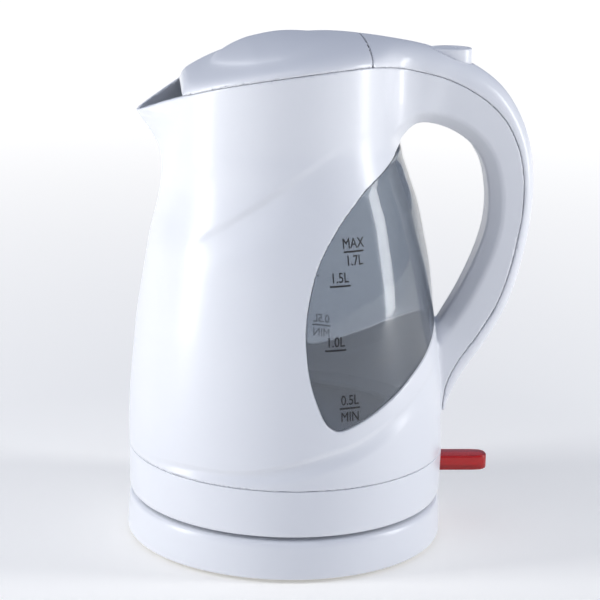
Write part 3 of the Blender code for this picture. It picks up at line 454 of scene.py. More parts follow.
def net(field, low, high, step):
    """Quads over the surface where a field is zero, with their corners settled onto that surface.
    """
    low = np.array(low, float)
    n = [int(math.ceil((high[i] - low[i]) / step)) + 1 for i in range(3)]
    axes = [low[i] + step * np.arange(n[i]) for i in range(3)]
    f = np.empty(n, np.float32)
    for i in range(n[0]):
        Y, Z = np.meshgrid(axes[1], axes[2], indexing="ij")
        points = np.stack([np.full(Y.size, axes[0][i]), Y.ravel(), Z.ravel()], 1)
        f[i] = field(points).reshape(Y.shape)
    inside = f < 0
    corners = [(a, b, c) for a in (0, 1) for b in (0, 1) for c in (0, 1)]
    count = sum(inside[a:n[0] - 1 + a, b:n[1] - 1 + b, c:n[2] - 1 + c].astype(np.int8)
                for a, b, c in corners)
    cells = np.argwhere((count > 0) & (count < 8))
    index = np.full([m - 1 for m in n], -1, np.int64)
    index[tuple(cells.T)] = np.arange(len(cells))
    total = np.zeros((len(cells), 3))
    hits = np.zeros(len(cells))
    for a in corners:
        for axis in range(3):
            if a[axis]:
                continue
            b = list(a)
            b[axis] = 1
            fa = f[tuple((cells + a).T)]
            fb = f[tuple((cells + b).T)]
            crosses = (fa < 0) != (fb < 0)
            t = np.where(crosses, fa / np.where(crosses, fa - fb, 1), 0)
            place = np.tile(np.array(a, float), (len(cells), 1))
            place[:, axis] = t
            total += place * crosses[:, None]
            hits += crosses
    verts = low + step * (cells + total / hits[:, None])
    faces = []
    for axis in range(3):
        u, v = [(1, 2), (2, 0), (0, 1)][axis]
        head = [slice(None)] * 3
        tail = [slice(None)] * 3
        head[axis], tail[axis] = slice(0, -1), slice(1, None)
        first = inside[tuple(head)]
        edge = np.argwhere(first != inside[tuple(tail)])
        keep = np.all([(edge[:, w] > 0) & (edge[:, w] < n[w] - 1) for w in (u, v)], axis=0)
        edge = edge[keep]
        ring = []
        for du, dv in ((1, 1), (0, 1), (0, 0), (1, 0)):
            cell = edge.copy()
            cell[:, u] -= du
            cell[:, v] -= dv
            ring.append(index[tuple(cell.T)])
        quads = np.stack(ring, 1)
        out = first[tuple(edge.T)]
        faces.append(np.where(out[:, None], quads, quads[:, ::-1]))
    faces = np.vstack(faces)
    return settle(field, verts, step), faces


def gradient(field, p, e):
    return np.stack([field(p + d) - field(p - d) for d in np.eye(3) * e], 1) / (2 * e)


def settle(field, verts, step):
    """Move points onto the surface along the field's slope, no further than a cell."""
    start = verts.copy()
    for _ in range(4):
        g = gradient(field, verts, 0.12)
        size = np.maximum((g * g).sum(1), 0.05)
        move = g * (field(verts) / size)[:, None]
        length = np.linalg.norm(move, axis=1)
        move *= np.minimum(1, 0.4 * step / np.maximum(length, 1e-9))[:, None]
        verts = verts - move
    far = np.linalg.norm(verts - start, axis=1) > 1.2 * step
    verts[far] = start[far]
    return verts


def stand(name, data):
    """New object in the scene."""
    ob = bpy.data.objects.new(name, data)
    bpy.context.scene.collection.objects.link(ob)
    return ob


def publish(name, verts, faces, mat, normals=None, sharp=35.0):
    """Object from millimetre points, smooth except along edges sharper than an angle."""
    mesh = bpy.data.meshes.new(name)
    faces = faces.tolist() if isinstance(faces, np.ndarray) else faces
    mesh.from_pydata((np.asarray(verts, float) * MM).tolist(), [], faces)
    mesh.validate(clean_customdata=False)
    mesh.shade_smooth()
    if normals is None:
        bm = bmesh.new()
        bm.from_mesh(mesh)
        bmesh.ops.remove_doubles(bm, verts=bm.verts, dist=1e-7)
        bmesh.ops.recalc_face_normals(bm, faces=bm.faces)
        bm.to_mesh(mesh)
        bm.free()
        mesh.set_sharp_from_angle(angle=math.radians(sharp))
    else:
        mesh.normals_split_custom_set_from_vertices(normals.tolist())
    mesh.materials.append(mat)
    return stand(name, mesh)


def moulded(name, field, low, high, step, mat):
    """Object whose surface follows a field exactly."""
    verts, faces = net(field, low, high, step)
    g = gradient(field, verts, 0.25)
    normals = g / np.maximum(np.linalg.norm(g, axis=1), 1e-9)[:, None]
    return publish(name, verts, faces, mat, normals)


def fillet(profile, radius, steps=4):
    """Closed outline with its corners rounded; radius is one number or one for each corner."""
    p = np.asarray(profile, float)
    radii = np.broadcast_to(np.asarray(radius, float), len(p))
    out = []
    for i, r in enumerate(radii):
        a, b = p[i - 1] - p[i], p[(i + 1) % len(p)] - p[i]
        la, lb = np.linalg.norm(a), np.linalg.norm(b)
        cut = min(r, 0.45 * la, 0.45 * lb)
        if cut < 0.02:
            out.append(tuple(p[i]))
            continue
        start, end = p[i] + a / la * cut, p[i] + b / lb * cut
        for t in np.linspace(0, 1, steps + 1):
            q = start * (1 - t) ** 2 + p[i] * 2 * t * (1 - t) + end * t ** 2
            out.append(tuple(q))
    return out


def turned(name, profile, mat, segments=160, centre=(0.0, 0.0)):
    """Closed (radius, height) outline turned about a vertical axis."""
    p = np.asarray(profile, float)
    turn = 2 * np.pi * np.arange(segments) / segments
    verts = np.stack([centre[0] + np.outer(np.cos(turn), p[:, 0]),
                      centre[1] + np.outer(np.sin(turn), p[:, 0]),
                      np.broadcast_to(p[:, 1], (segments, len(p)))], -1).reshape(-1, 3)
    n = len(p)
    faces = []
    for i in range(segments):
        j = (i + 1) % segments
        for k in range(n):
            m = (k + 1) % n
            ring = [i * n + k, j * n + k, j * n + m, i * n + m]
            if p[k][0] < 1e-6:
                ring.remove(j * n + k)
            if p[m][0] < 1e-6:
                ring.remove(j * n + m)
            if len(ring) > 2:
                faces.append(ring)
    return publish(name, verts, faces, mat)


def walls(rings, n):
    """Quads that join rings of n points in order."""
    return [[r * n + k, r * n + (k + 1) % n, (r + 1) * n + (k + 1) % n, (r + 1) * n + k]
            for r in range(rings - 1) for k in range(n)]


def loft(name, rings, mat):
    """Rings of equal length joined in order, with the first and last filled."""
    count, n = len(rings), len(rings[0])
    faces = walls(count, n) + [list(range(n)), list(range((count - 1) * n, count * n))]
    return publish(name, np.array(rings, float).reshape(-1, 3), faces, mat)


def prism(name, outline, low, high, mat, edge=0.0):
    """Outline pushed up from low to high, with its two rims rounded by edge."""
    o = np.asarray(outline, float)
    middle = o.mean(0)
    step = np.roll(o, -1, 0) - np.roll(o, 1, 0)
    normal = np.stack([step[:, 1], -step[:, 0]], 1)
    normal /= np.linalg.norm(normal, axis=1)[:, None]
    if ((o - middle) * normal).sum() < 0:
        normal = -normal
    levels = [(high, 0.0), (low, 0.0)]
    if edge > 0:
        arc = np.linspace(0, np.pi / 2, 5)
        levels = [(high - edge * (1 - math.cos(t)), edge * (1 - math.sin(t))) for t in arc]
        levels += [(low + edge * (1 - math.sin(t)), edge * (1 - math.cos(t))) for t in arc]
    rings = [[(*(o[k] - normal[k] * inset), h) for k in range(len(o))] for h, inset in levels]
    return loft(name, rings, mat)


def around(radius, count, start):
    """Places spread evenly round the jug's axis."""
    turns = [start + 2 * math.pi / count * k for k in range(count)]
    return [(radius * math.cos(a), radius * math.sin(a)) for a in turns]


def ellipse(centre, a, b, count=72):
    turn = 2 * np.pi * np.arange(count) / count
    return np.stack([centre[0] + a * np.cos(turn), centre[1] + b * np.sin(turn)], 1)


def rounded_box(name, low, high, mat, edge=0.4):
    outline = [(low[0], low[1]), (high[0], low[1]), (high[0], high[1]), (low[0], high[1])]
    return prism(name, fillet(outline, edge * 1.5), low[2], high[2], mat, edge)


def baked(ob):
    """Mesh of an object as its modifiers leave it, which a mesh object also keeps."""
    bpy.context.view_layer.update()
    mesh = bpy.data.meshes.new_from_object(
        ob.evaluated_get(bpy.context.evaluated_depsgraph_get()))
    if ob.type == "MESH":
        ob.modifiers.clear()
        ob.data = mesh
    return mesh


def cut(target, *tools, operation="DIFFERENCE"):
    """Boolean with closed tools, baked into the target's mesh; the tools are removed."""
    for tool in tools:
        m = target.modifiers.new("cut", "BOOLEAN")
        m.operation = operation
        m.solver = "EXACT"
        m.object = tool
    baked(target).set_sharp_from_angle(angle=math.radians(35))
    for tool in tools:
        bpy.data.objects.remove(tool)
    return target


def rod(name, start, end, radius, mat, segments=48):
    a, b = Vector(start), Vector(end)
    axis = (b - a).normalized()
    side = axis.orthogonal().normalized()
    up = axis.cross(side)
    turn = [2 * math.pi * k / segments for k in range(segments)]
    spokes = [(side * math.cos(t) + up * math.sin(t)) for t in turn]
    chamfer = min(0.25, radius * 0.2)
    stations = [(a, radius - chamfer), (a + axis * chamfer, radius),
                (b - axis * chamfer, radius), (b, radius - chamfer)]
    rings = [[tuple(c + s * r) for s in spokes] for c, r in stations]
    return loft(name, rings, mat)


# ---------- materials

class Nodes:
    """Short way to write a material's node tree."""

    def __init__(self, name, colour, roughness, metallic=0.0):
        self.mat = bpy.data.materials.new(name)
        self.mat.use_nodes = True
        self.tree = self.mat.node_tree
        self.join = self.tree.links.new
        self.shader = self.tree.nodes["Principled BSDF"]
        self.set(Base_Color=(*colour, 1.0), Roughness=roughness, Metallic=metallic)
        self.mat.diffuse_color = (*colour, 1.0)
        self.coords = self.new("TexCoord").outputs["Object"]

    def set(self, node=None, **values):
        """Set sockets by name on a node, which is the shader unless one is given."""
        for socket, value in values.items():
            (node or self.shader).inputs[socket.replace("_", " ")].default_value = value

    def new(self, kind, **values):
        node = self.tree.nodes.new("ShaderNode" + kind)
        self.set(node, **values)
        return node

    def link(self, out, socket):
        self.join(out, self.shader.inputs[socket])

    def noise(self, scale, detail=3.0, rough=0.5, stretch=None, warp=0.0):
        node = self.new("TexNoise", Scale=scale, Detail=detail, Roughness=rough, Distortion=warp)
        source = self.coords
        if stretch:
            mapping = self.new("Mapping", Scale=stretch)
            self.join(source, mapping.inputs["Vector"])
            source = mapping.outputs["Vector"]
        self.join(source, node.inputs["Vector"])
        return node.outputs["Fac"]

    def spread(self, value, low, high, from_low=0.3, from_high=0.7):
        node = self.new("MapRange", From_Min=from_low, From_Max=from_high, To_Min=low, To_Max=high)
        self.join(value, node.inputs["Value"])
        return node.outputs["Result"]

    def facing(self):
        """0 where a face looks at the eye, rising to 1 where it is seen edge on."""
        return self.new("LayerWeight", Blend=0.5).outputs["Facing"]

    def tint(self, value, one, other, start=0.3, end=0.7):
        ramp = self.new("ValToRGB")
        for stop, at, colour in zip(ramp.color_ramp.elements, (start, end), (one, other)):
            stop.position = at
            stop.color = (*colour, 1.0)
        self.join(value, ramp.inputs["Fac"])
        self.link(ramp.outputs["Color"], "Base Color")

    def plus(self, one, other, amount):
        """one + amount * other."""
        node = self.new("Math")
        node.operation = "MULTIPLY_ADD"
        node.inputs[1].default_value = amount
        self.join(other, node.inputs[0])
        self.join(one, node.inputs[2])
        return node.outputs[0]

    def bump(self, height, distance, strength=1.0):
        node = self.new("Bump", Strength=strength, Distance=distance)
        self.join(height, node.inputs["Height"])
        self.link(node.outputs["Normal"], "Normal")


def gloss_white():
    """Moulded gloss plastic: faint flow marks, orange peel and a slightly rubbed face."""
    white, shade, roughness = (0.80, 0.815, 0.85), (0.785, 0.80, 0.84), 0.3
    m = Nodes("white_plastic", white, roughness)
    m.tint(m.noise(9.0, 3.0, 0.5, warp=0.6), white, shade)
    rubbed = m.noise(55.0, 5.0, 0.62, stretch=(1.0, 1.0, 0.35))
    m.link(m.spread(rubbed, roughness - 0.02, roughness + 0.03), "Roughness")
    m.bump(m.noise(420.0, 2.0, 0.45), 0.00004, 0.3)
    m.set(IOR=1.5, Coat_Weight=0.2, Coat_Roughness=0.2, Subsurface_Weight=0.04,
          Subsurface_Scale=0.002, Subsurface_Radius=(1.0, 1.0, 1.0))
    return m.mat


def smoked_clear():
    m = Nodes("smoked_clear", (0.50, 0.54, 0.58), 0.04)
    # Painted shade: the pane's colour darkens where it is seen edge on, with a faint tone that
    # differs at random on top.
    painted_edge_shade_and_tone = m.plus(m.facing(), m.noise(14.0, 2.0, 0.5, warp=0.4), 0.12)
    m.tint(painted_edge_shade_and_tone, (0.56, 0.60, 0.65), (0.16, 0.185, 0.22), 0.4, 0.95)
    m.link(m.spread(m.noise(60.0, 4.0, 0.6), 0.03, 0.075), "Roughness")
    m.bump(m.noise(160.0, 2.0, 0.5), 0.00003, 0.5)
    m.set(IOR=1.35, Specular_IOR_Level=0.3, Transmission_Weight=0.85)
    m.mat.diffuse_color = (0.5, 0.54, 0.58, 0.5)
    return m.mat


def surface(name, one, other, tint, gloss, relief=None, metallic=0.0, stretch=None):
    """Material whose colour, roughness and fine relief each follow a noise of their own."""
    m = Nodes(name, one, 0.5 * (gloss[2] + gloss[3]), metallic)
    m.tint(m.noise(*tint), one, other)
    lines = m.noise(gloss[0], gloss[1], 0.6, stretch=stretch)
    m.link(m.spread(lines, gloss[2], gloss[3]), "Roughness")
    if relief:
        scale, detail, fine, distance, strength = relief
        height = lines if stretch else m.noise(scale, detail, fine)
        m.bump(height, distance, strength)
    return m


def red_clear():
    m = surface("red_clear", (0.66, 0.016, 0.016), (0.56, 0.008, 0.01), (60.0, 2.0, 0.5),
                (140.0, 4.0, 0.08, 0.2), (500.0, 2.0, 0.5, 0.00004, 0.5))
    m.set(IOR=1.49, Transmission_Weight=0.6)
    m.mat.diffuse_color = (0.6, 0.02, 0.02, 0.85)
    return m.mat


def metal(name, colour, roughness, stretch):
    """Drawn or turned metal: fine lines along the direction it was worked in."""
    return surface(name, colour, tuple(c * 0.86 for c in colour), (120.0, 4.0, 0.6),
                   (1200.0, 4.0, roughness - 0.06, roughness + 0.12),
                   (0, 0, 0, 0.00003, 0.5), 1.0, stretch).mat


def rubber(name, one, other, roughness):
    return surface(name, one, other, (90.0, 4.0, 0.6),
                   (260.0, 4.0, roughness - 0.1, roughness + 0.08),
                   (1500.0, 3.0, 0.6, 0.00008, 0.6)).mat


MATS = {
    "white_plastic": gloss_white(),
    "black_plastic": surface("black_plastic", (0.016, 0.016, 0.018), (0.034, 0.034, 0.037),
                             (80.0, 3.0, 0.6), (300.0, 4.0, 0.38, 0.6),
                             (2200.0, 2.0, 0.6, 0.00006, 0.6)).mat,
    "brass": metal("brass", (0.72, 0.53, 0.25), 0.28, (1.0, 1.0, 8.0)),
    "steel": metal("steel", (0.60, 0.60, 0.62), 0.3, (1.0, 10.0, 1.0)),
    "aluminium": metal("aluminium", (0.74, 0.75, 0.76), 0.42, (1.0, 1.0, 1.0)),
    "rubber": rubber("rubber", (0.03, 0.03, 0.031), (0.05, 0.05, 0.052), 0.8),
    "silicone": rubber("silicone", (0.55, 0.55, 0.53), (0.62, 0.62, 0.60), 0.62),
    "smoked_clear": smoked_clear(),
    "red_clear": red_clear(),
}
INK = surface("ink", (0.005, 0.005, 0.007), (0.01, 0.01, 0.013), (1500.0, 2.0, 0.5),
              (900.0, 3.0, 0.38, 0.55)).mat
SLOT_OF = {s["node"]: s["material_slot"] for s in frame["record"]["subparts"]}


def place(ob, body, slot, *nodes):
    """Put a finished piece on its body and let it stand for its CAD nodes."""
    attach(ob, body)
    if nodes:
        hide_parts(*nodes)
    return ob


# ---------- jug, window and handle

white = MATS["white_plastic"]
place(moulded("jug_moulding", body_field, (-82, -83, 43.0), (118, 83, 248), 1.05, white),
      "kettle", "white_plastic", "body_shell")
place(moulded("handle_outer", cover_field, (30, -45, 56), (123, 45, 257), 0.85, white),
      "kettle", "white_plastic", "handle_cover")


def window_pane():
    """Leaf-shaped pane that wraps round the back of the jug, rounded along its edge."""
    shrink, columns, rows = 0.3, 150, 40
    rings = []
    for side in np.linspace(-1, 1, columns + 1):
        deg = (WINDOW_ANGLE - 0.35) * math.sin(side * math.pi / 2)
        low, high = float(window_low(abs(deg))), float(window_high(abs(deg)))
        half = max((high - low) / 2, 0.9) - shrink
        across = np.linspace(-1, 1, rows)
        across = np.sign(across) * (1 - (1 - np.abs(across)) ** 1.3)
        heights = (low + high) / 2 + half * across
        a = math.radians(deg)
        edge = np.minimum(half - np.abs(heights - (low + high) / 2), 0.5)
        tuck = 0.5 - np.sqrt(np.maximum(0.25 - (0.5 - edge) ** 2, 0))
        out = jug_points(a, heights, 0.04 + tuck * 0.6)
        back = jug_points(a, heights, 2.4)
        rings.append(np.vstack([out, back[::-1]]))
    n = 2 * rows
    verts = np.array(rings).reshape(-1, 3)
    faces = walls(columns + 1, n)
    for start in (0, columns * n):
        faces += [[start + k, start + k + 1, start + n - 2 - k, start + n - 1 - k]
                  for k in range(rows - 1)]
    return publish("window_pane", verts, faces, MATS["smoked_clear"], sharp=40.0)


place(window_pane(), "kettle", "smoked_clear", "water_window")


LETTER_SIZE, LETTER_WIDTH = 6.6, 0.82
LINE_HALF, LINE_THICK, INK_DEPTH = 5.3, 0.42, 0.03


def level_mark(name, angle, z, above, below):
    """A printed line on the pane with words over and under it, wrapped onto its face."""
    made = []
    for word, drop in ((above, 1.7), (below, -6.3)):
        if not word:
            continue
        curve = bpy.data.curves.new(name, "FONT")
        curve.body = word
        curve.align_x = "CENTER"
        curve.size = LETTER_SIZE
        curve.bevel_depth = 0.06
        text = stand(name, curve)
        mesh = baked(text)
        co = np.array([v.co for v in mesh.vertices])
        co[:, 0] *= LETTER_WIDTH
        co[:, 1] += drop
        made.append((co, [list(f.vertices) for f in mesh.polygons]))
        bpy.data.objects.remove(text)
    count = 12
    t, d = LINE_THICK, INK_DEPTH
    bar = [(u, v, w) for u in np.linspace(-LINE_HALF, LINE_HALF, count + 1)
           for v, w in ((-t, -d), (t, -d), (t, d), (-t, d))]
    faces = walls(count + 1, 4) + [[0, 1, 2, 3], [4 * count + k for k in range(4)]]
    made.append((np.array(bar), faces))
    verts, all_faces = [], []
    for co, faces in made:
        start = sum(len(v) for v in verts)
        verts.append(co)
        all_faces += [[start + i for i in f] for f in faces]
    flat = np.vstack(verts)
    for side, label in ((-1, "near"), (1, "far")):
        heights = z + flat[:, 1]
        radius = half_breadth(heights)
        a = side * math.radians(angle) + flat[:, 0] / radius
        points = jug_points(a, heights, 0.0)
        out = points - np.stack([jug_section(heights)[0], np.zeros(len(a)), heights], 1)
        out /= np.linalg.norm(out, axis=1)[:, None]
        points = points + out * (0.01 + flat[:, 2:3])
        place(publish(f"{name}_{label}", points, all_faces, INK), "kettle", "black_plastic")


level_mark("mark_max", 66.7, 160.1, "MAX", "1.7L")
level_mark("mark_15", 73.6, 144.5, "1.5L", "")
level_mark("mark_10", 75.8, 114.5, "1.0L", "")
level_mark("mark_min", 70.9, 86.4, "0.5L", "MIN")


# ---------- lid

place(moulded("lid_top", lid_field, (-60, -62, 224), (36, 62, 258), 1.0, white),
      "lid", "white_plastic", "lid_cover")

ARM_PATH = [(24.0, 242.6), (24.6, 229.0), (27.0, 226.2), (31.0, 226.6), (36.6, 231.0),
            (45.5, 243.0)]
plane.along("arm", np.array(ARM_PATH))


def lid_plate_field(p):
    """Plate under the lid, with a rib round it and two arms to the hinge."""
    x, y, z = p.T
    rise = plane.read("seam", x, z)
    rim = jug_field(p) + WALL + 0.8
    plate = smax(np.abs(rise + 1.8) - 1.1, common(rim, -50.5 - x, x - 27.0), 0.8)
    rib = np.abs(common(rim, -50.5 - x, x - 23.0) + 5.0) - 0.9
    rib = smax(rib, np.abs(rise + 3.4) - 1.2, 0.6)
    arm = smax(np.abs(plane.read("arm", x, z)) - 2.0, np.abs(np.abs(y) - 13.3) - 2.3, 0.8)
    eye = np.hypot(x - HINGE[0], z - HINGE[2])
    knuckle = smax(eye - 4.0, np.abs(np.abs(y) - 13.3) - 2.3, 0.8)
    solid = smin(smin(plate, rib, 1.0), np.minimum(arm, knuckle), 1.2)
    return np.maximum(solid, 1.9 - eye)


place(moulded("lid_plate", lid_plate_field, (-53, -58, 221), (52, 58, 249), 0.9, white),
      "lid", "white_plastic", "lid_inner_plate")


def button():
    cap = prism("button_cap", ellipse(BUTTON, 10.9, 8.0), 232.2, 248.2, white, edge=0.9)
    skirt = prism("button_skirt", ellipse(BUTTON, 12.2, 9.3), 232.2, 234.0, white, edge=0.4)
    hollow = prism("button_inside", ellipse(BUTTON, 9.0, 6.1), 228.0, 246.0, white)
    dish = prism("button_dish", ellipse((BUTTON[0] - 1.2, 0), 8.4, 5.9), 247.85, 250.0, white)
    cut(cap, skirt, operation="UNION")
    cut(cap, hollow, dish)
    return cap


place(button(), "button", "white_plastic", "lid_button")
for k in range(5):
    y = -3.6 + 1.8 * k
    grip = rod(f"button_ridge_{k + 1}", (81.2 - 0.14 * y * y, y, 248.0),
               (85.0 - 0.14 * y * y, y, 248.0), 0.42, white, 16)
    place(grip, "button", "white_plastic")


def coil(name, centre, radius, low, high, turns, wire, mat):
    """Helical spring whose end turns lie nearly flat."""
    rings = []
    for turn in np.linspace(0, turns, turns * 28 + 1):
        rise = np.interp(turn, [0, 0.9, turns - 0.9, turns], [0.0, 0.06, 0.94, 1.0])
        z = low + wire + (high - low - 2 * wire) * rise
        a = 2 * math.pi * turn
        rings.append([((centre[0] + (radius + wire * math.cos(b)) * math.cos(a)),
                       (centre[1] + (radius + wire * math.cos(b)) * math.sin(a)),
                       z + wire * math.sin(b)) for b in np.linspace(0, 2 * np.pi, 11)[:-1]])
    return loft(name, rings, mat)


SPRING_FOOT, SPRING_TOP, BUTTON_TRAVEL = 226.0, 245.7, 3.2
spring = coil("button_coil", BUTTON, 4.2, SPRING_FOOT, SPRING_TOP, 7, 0.5, MATS["steel"])
place(spring, "kettle", "steel", "button_spring")
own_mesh(spring)


# ---------- skirt and base

SKIRT_SCREWS = around(50.0, 3, math.pi)
BASE_SCREWS = around(40.0, 3, 0.5)
FEET = around(58.0, 4, math.pi / 4)


def pin_bore(name, segments):
    """Tool for the bore that the switch's pin runs in."""
    r = PIN_BORE_R
    tool = turned(name, [(0, -12), (r, -12), (r, 12), (0, 12)], white, segments)
    tool.data.transform(Matrix.Rotation(math.pi / 2, 4, "X"))
    tool.location = Vector(SWITCH) * MM
    return tool


def skirt():
    profile = [(79.5, 46.25), (79.1, 25.2), (78.4, 23.2), (77.0, 22.4), (70.6, 22.4),
               (70.0, 21.9), (19.0, 21.9), (19.0, 37.5), (21.4, 37.5), (21.4, 24.4),
               (74.6, 24.8), (76.4, 26.6), (76.9, 46.25)]
    radii = [0.5, 1.5, 1.5, 1.0, 0.5, 0.3, 1.0, 0.6, 0.6, 0.8, 1.0, 1.0, 0.5]
    body = turned("skirt_moulding", fillet(profile, radii), white)
    slot = rounded_box("slot_tool", (70, -6.85, 26.9), (90, 6.85, 40.2), white, 0.8)
    tools = [slot]
    for k, at in enumerate(SKIRT_SCREWS):
        tools.append(turned(f"recess_{k}", [(0, 18), (3.3, 18), (3.3, 25.2), (0, 25.2)], white, 32,
                            at))
    cut(body, *tools)
    for s in (-1, 1):
        low, high = sorted((s * 7.2, s * 9.4))
        ear = rounded_box(f"ear_{s}", (63.6, low, 24.4), (68.4, high, 37.9), white, 0.4)
        cut(ear, pin_bore(f"ear_bore_{s}", 24))
        place(ear, "kettle", "white_plastic")
        ear.name = f"switch_ear_{'near' if s < 0 else 'far'}"
    return body


place(skirt(), "kettle", "white_plastic", "lower_housing")


def base_cover():
    profile = [(79.6, 1.6), (80.0, 2.8), (79.1, 18.0), (78.5, 19.8), (77.0, 20.6), (69.4, 20.6),
               (68.4, 21.6), (15.5, 21.6), (15.5, 19.2), (67.4, 19.2), (68.4, 18.2),
               (75.6, 18.2), (76.6, 17.2), (77.4, 1.6)]
    radii = [0.5, 1.0, 1.0, 1.2, 1.2, 0.6, 0.6, 0.7, 0.4, 0.4, 0.4, 0.6, 0.6, 0.4]
    body = turned("base_cover", fillet(profile, radii), white, 180)
    hole = rod("outlet_tool", (0, 70, 9.4), (0, 90, 9.4), 3.5, white)
    groove = turned("drip_groove", [(30, 21.1), (32, 21.1), (32.6, 23), (29.4, 23)], white)
    return cut(body, hole, groove)


place(base_cover(), "base", "white_plastic", "base_shell")


def base_floor():
    profile = [(0, 0.8), (33.4, 0.8), (34.0, 1.4), (34.0, 2.4), (76.4, 2.4), (76.9, 2.8),
               (76.9, 4.8), (0, 4.8)]
    body = turned("base_floor", fillet(profile, [0, 0.4, 0.4, 0.6, 0.3, 0.3, 0.3, 0]), white)
    tools = []
    for kind, r, segments, places in (("foot", 2.9, 32, FEET), ("screw", 1.6, 24, BASE_SCREWS)):
        for k, at in enumerate(places):
            tools.append(turned(f"{kind}_way_{k}", [(0, -2), (r, -2), (r, 8), (0, 8)], white,
                                segments, at))
    for k, r in enumerate((47.5, 69.0)):
        ring = [(r, 1.9), (r + 1.2, 1.9), (r + 1.2, 2.8), (r, 2.8)]
        tools.append(turned(f"ring_{k}", ring, white))
    return cut(body, *tools)


place(base_floor(), "base", "white_plastic", "base_bottom_plate")
for k, at in enumerate(FEET):
    profile = [(0, 0.35), (2.2, 0.35), (2.6, 0), (5.4, 0), (6.2, 0.8), (6.2, 2.1), (2.6, 2.1),
               (2.6, 5.1), (3.9, 5.1), (3.4, 6.4), (0, 6.4)]
    place(turned(f"foot_pad_{k + 1}", fillet(profile, 0.25), MATS["rubber"], 48, at),
          "base", "rubber", f"foot_{k + 1}")


def screw(name, at, head_z, tip_z, head_r, shank_r, body, node, head=1.8):
    """Cross-head screw in the place of its CAD node."""
    way = 1 if tip_z > head_z else -1
    profile = [(0, head_z), (head_r * 0.62, head_z), (head_r * 0.92, head_z + way * head * 0.28),
               (head_r, head_z + way * head * 0.7), (head_r, head_z + way * head),
               (shank_r, head_z + way * head), (shank_r, tip_z - way * 1.0), (0.5, tip_z),
               (0, tip_z)]
    ob = turned(name, fillet(profile, 0.3), MATS["steel"], 40, at)
    arms = []
    for w, d in ((head_r * 0.58, 0.42), (0.42, head_r * 0.58)):
        low, high = sorted((head_z - way * 1.0, head_z + way * 1.1))
        arms.append(rounded_box("cross", (at[0] - w, at[1] - d, low), (at[0] + w, at[1] + d, high),
                                MATS["steel"], 0.05))
    cut(ob, *arms)
    return place(ob, body, "steel", node)


for k in range(3):
    screw(f"base_screw_head_{k + 1}", BASE_SCREWS[k], 0.3, 15.0, 2.8, 1.3, "base",
          f"base_screw_{k + 1}")
    screw(f"skirt_screw_head_{k + 1}", SKIRT_SCREWS[k], 23.0, 40.0, 2.8, 1.3, "kettle",
          f"housing_screw_{k + 1}")
for k, (x, y) in enumerate(((-38.0, 0.0), (8.0, 30.0), (8.0, -30.0))):
    head = float(rim_height(x - 2.6)) - 5.1
    screw(f"lid_screw_head_{k + 1}", (x, y), head, float(rim_height(x)) + 3.6, 2.6, 1.2, "lid",
          f"lid_screw_{k + 1}")

ROUND_PARTS = [
    ("hub", "base_socket", "black_plastic", "base",
     [(2.6, 36), (5.6, 36), (5.6, 18), (8, 18), (8, 36), (10.4, 36), (10.4, 18), (12.2, 18),
      (12.2, 36), (14.4, 36), (15.2, 35.2), (15.2, 18.8), (20, 18.8), (20, 16.4), (16, 10),
      (0, 10), (0, 13), (2.6, 13)], 0.35),
    ("hub_contact_inner", "base_contact_inner", "brass", "base",
     [(5.9, 18.3), (7.7, 18.3), (7.7, 20), (5.9, 20)], 0.3),
    ("hub_contact_outer", "base_contact_outer", "brass", "base",
     [(10.65, 18.3), (11.95, 18.3), (11.95, 20), (10.65, 20)], 0.3),
    ("hub_contact_pin", "base_contact_pin", "brass", "base",
     [(0, 13.3), (2.3, 13.3), (2.3, 15.5), (0, 15.5)], 0.3),
    ("plug_body", "connector_body", "black_plastic", "kettle",
     [(0, 41.3), (21.2, 41.3), (21.2, 37.8), (0, 37.8)], 0.5),
    ("plug_ring_inner", "connector_ring_inner", "brass", "kettle",
     [(6.2, 37.5), (7.3, 37.5), (7.3, 21), (6.9, 20.6), (6.6, 20.6), (6.2, 21)], 0.15),
    ("plug_ring_outer", "connector_ring_outer", "brass", "kettle",
     [(10.8, 37.5), (11.8, 37.5), (11.8, 21), (11.4, 20.6), (11.1, 20.6), (10.8, 21)], 0.15),
    ("plug_pin", "connector_pin", "brass", "kettle",
     [(0, 37.5), (1.9, 37.5), (1.9, 17.4), (1, 16.2), (0, 16.2)], 0.3),
    ("heater_disc", "heating_plate", "steel", "kettle",
     [(0, 55.7), (21, 55.7), (23, 55.9), (37, 55.9), (38.5, 55.6), (52, 55.6), (53.5, 55.9),
      (69.4, 55.9), (69.9, 55.4), (69.9, 54.2), (0, 54.2)], 0.5),
    ("heater_seal", "plate_seal", "silicone", "kettle",
     [(63, 56.2), (69.6, 56.2), (69.6, 57.7), (63, 57.7)], 0.4),
]
for name, node, slot, body, profile, radius in ROUND_PARTS:
    radii = [0.0 if r < 1e-6 else radius for r, _ in profile]
    place(turned(name, fillet(profile, radii), MATS[slot], 128), body, slot, node)


# ---------- switch, filter and lamp

def paddle():
    """Translucent rocking lever with rounded edges and the bore for its pin."""
    half = 6.15
    outline = [(60.5, -half), (96.5, -half), (101.0, -half + 0.6), (103.5, -half + 2.6),
               (104.3, 0), (103.5, half - 2.6), (101.0, half - 0.6), (96.5, half), (60.5, half)]
    radii = [0.8, 3.0, 2.0, 2.5, 3.0, 2.5, 2.0, 3.0, 0.8]
    body = prism("switch_paddle", fillet(outline, radii), 31.0, 38.8, MATS["red_clear"], edge=1.1)
    return cut(body, pin_bore("bore", 32))


place(paddle(), "switch", "red_clear", "switch_lever")
place(turned("lamp_lens", fillet([(0, 25.0), (2.6, 25.0), (2.6, 28.0), (1.6, 29.2), (0, 29.6)],
                                 [0, 0.3, 0.8, 0.8, 0]), MATS["red_clear"], 48, (70.0, 0)),
      "kettle", "red_clear", "indicator_lamp")


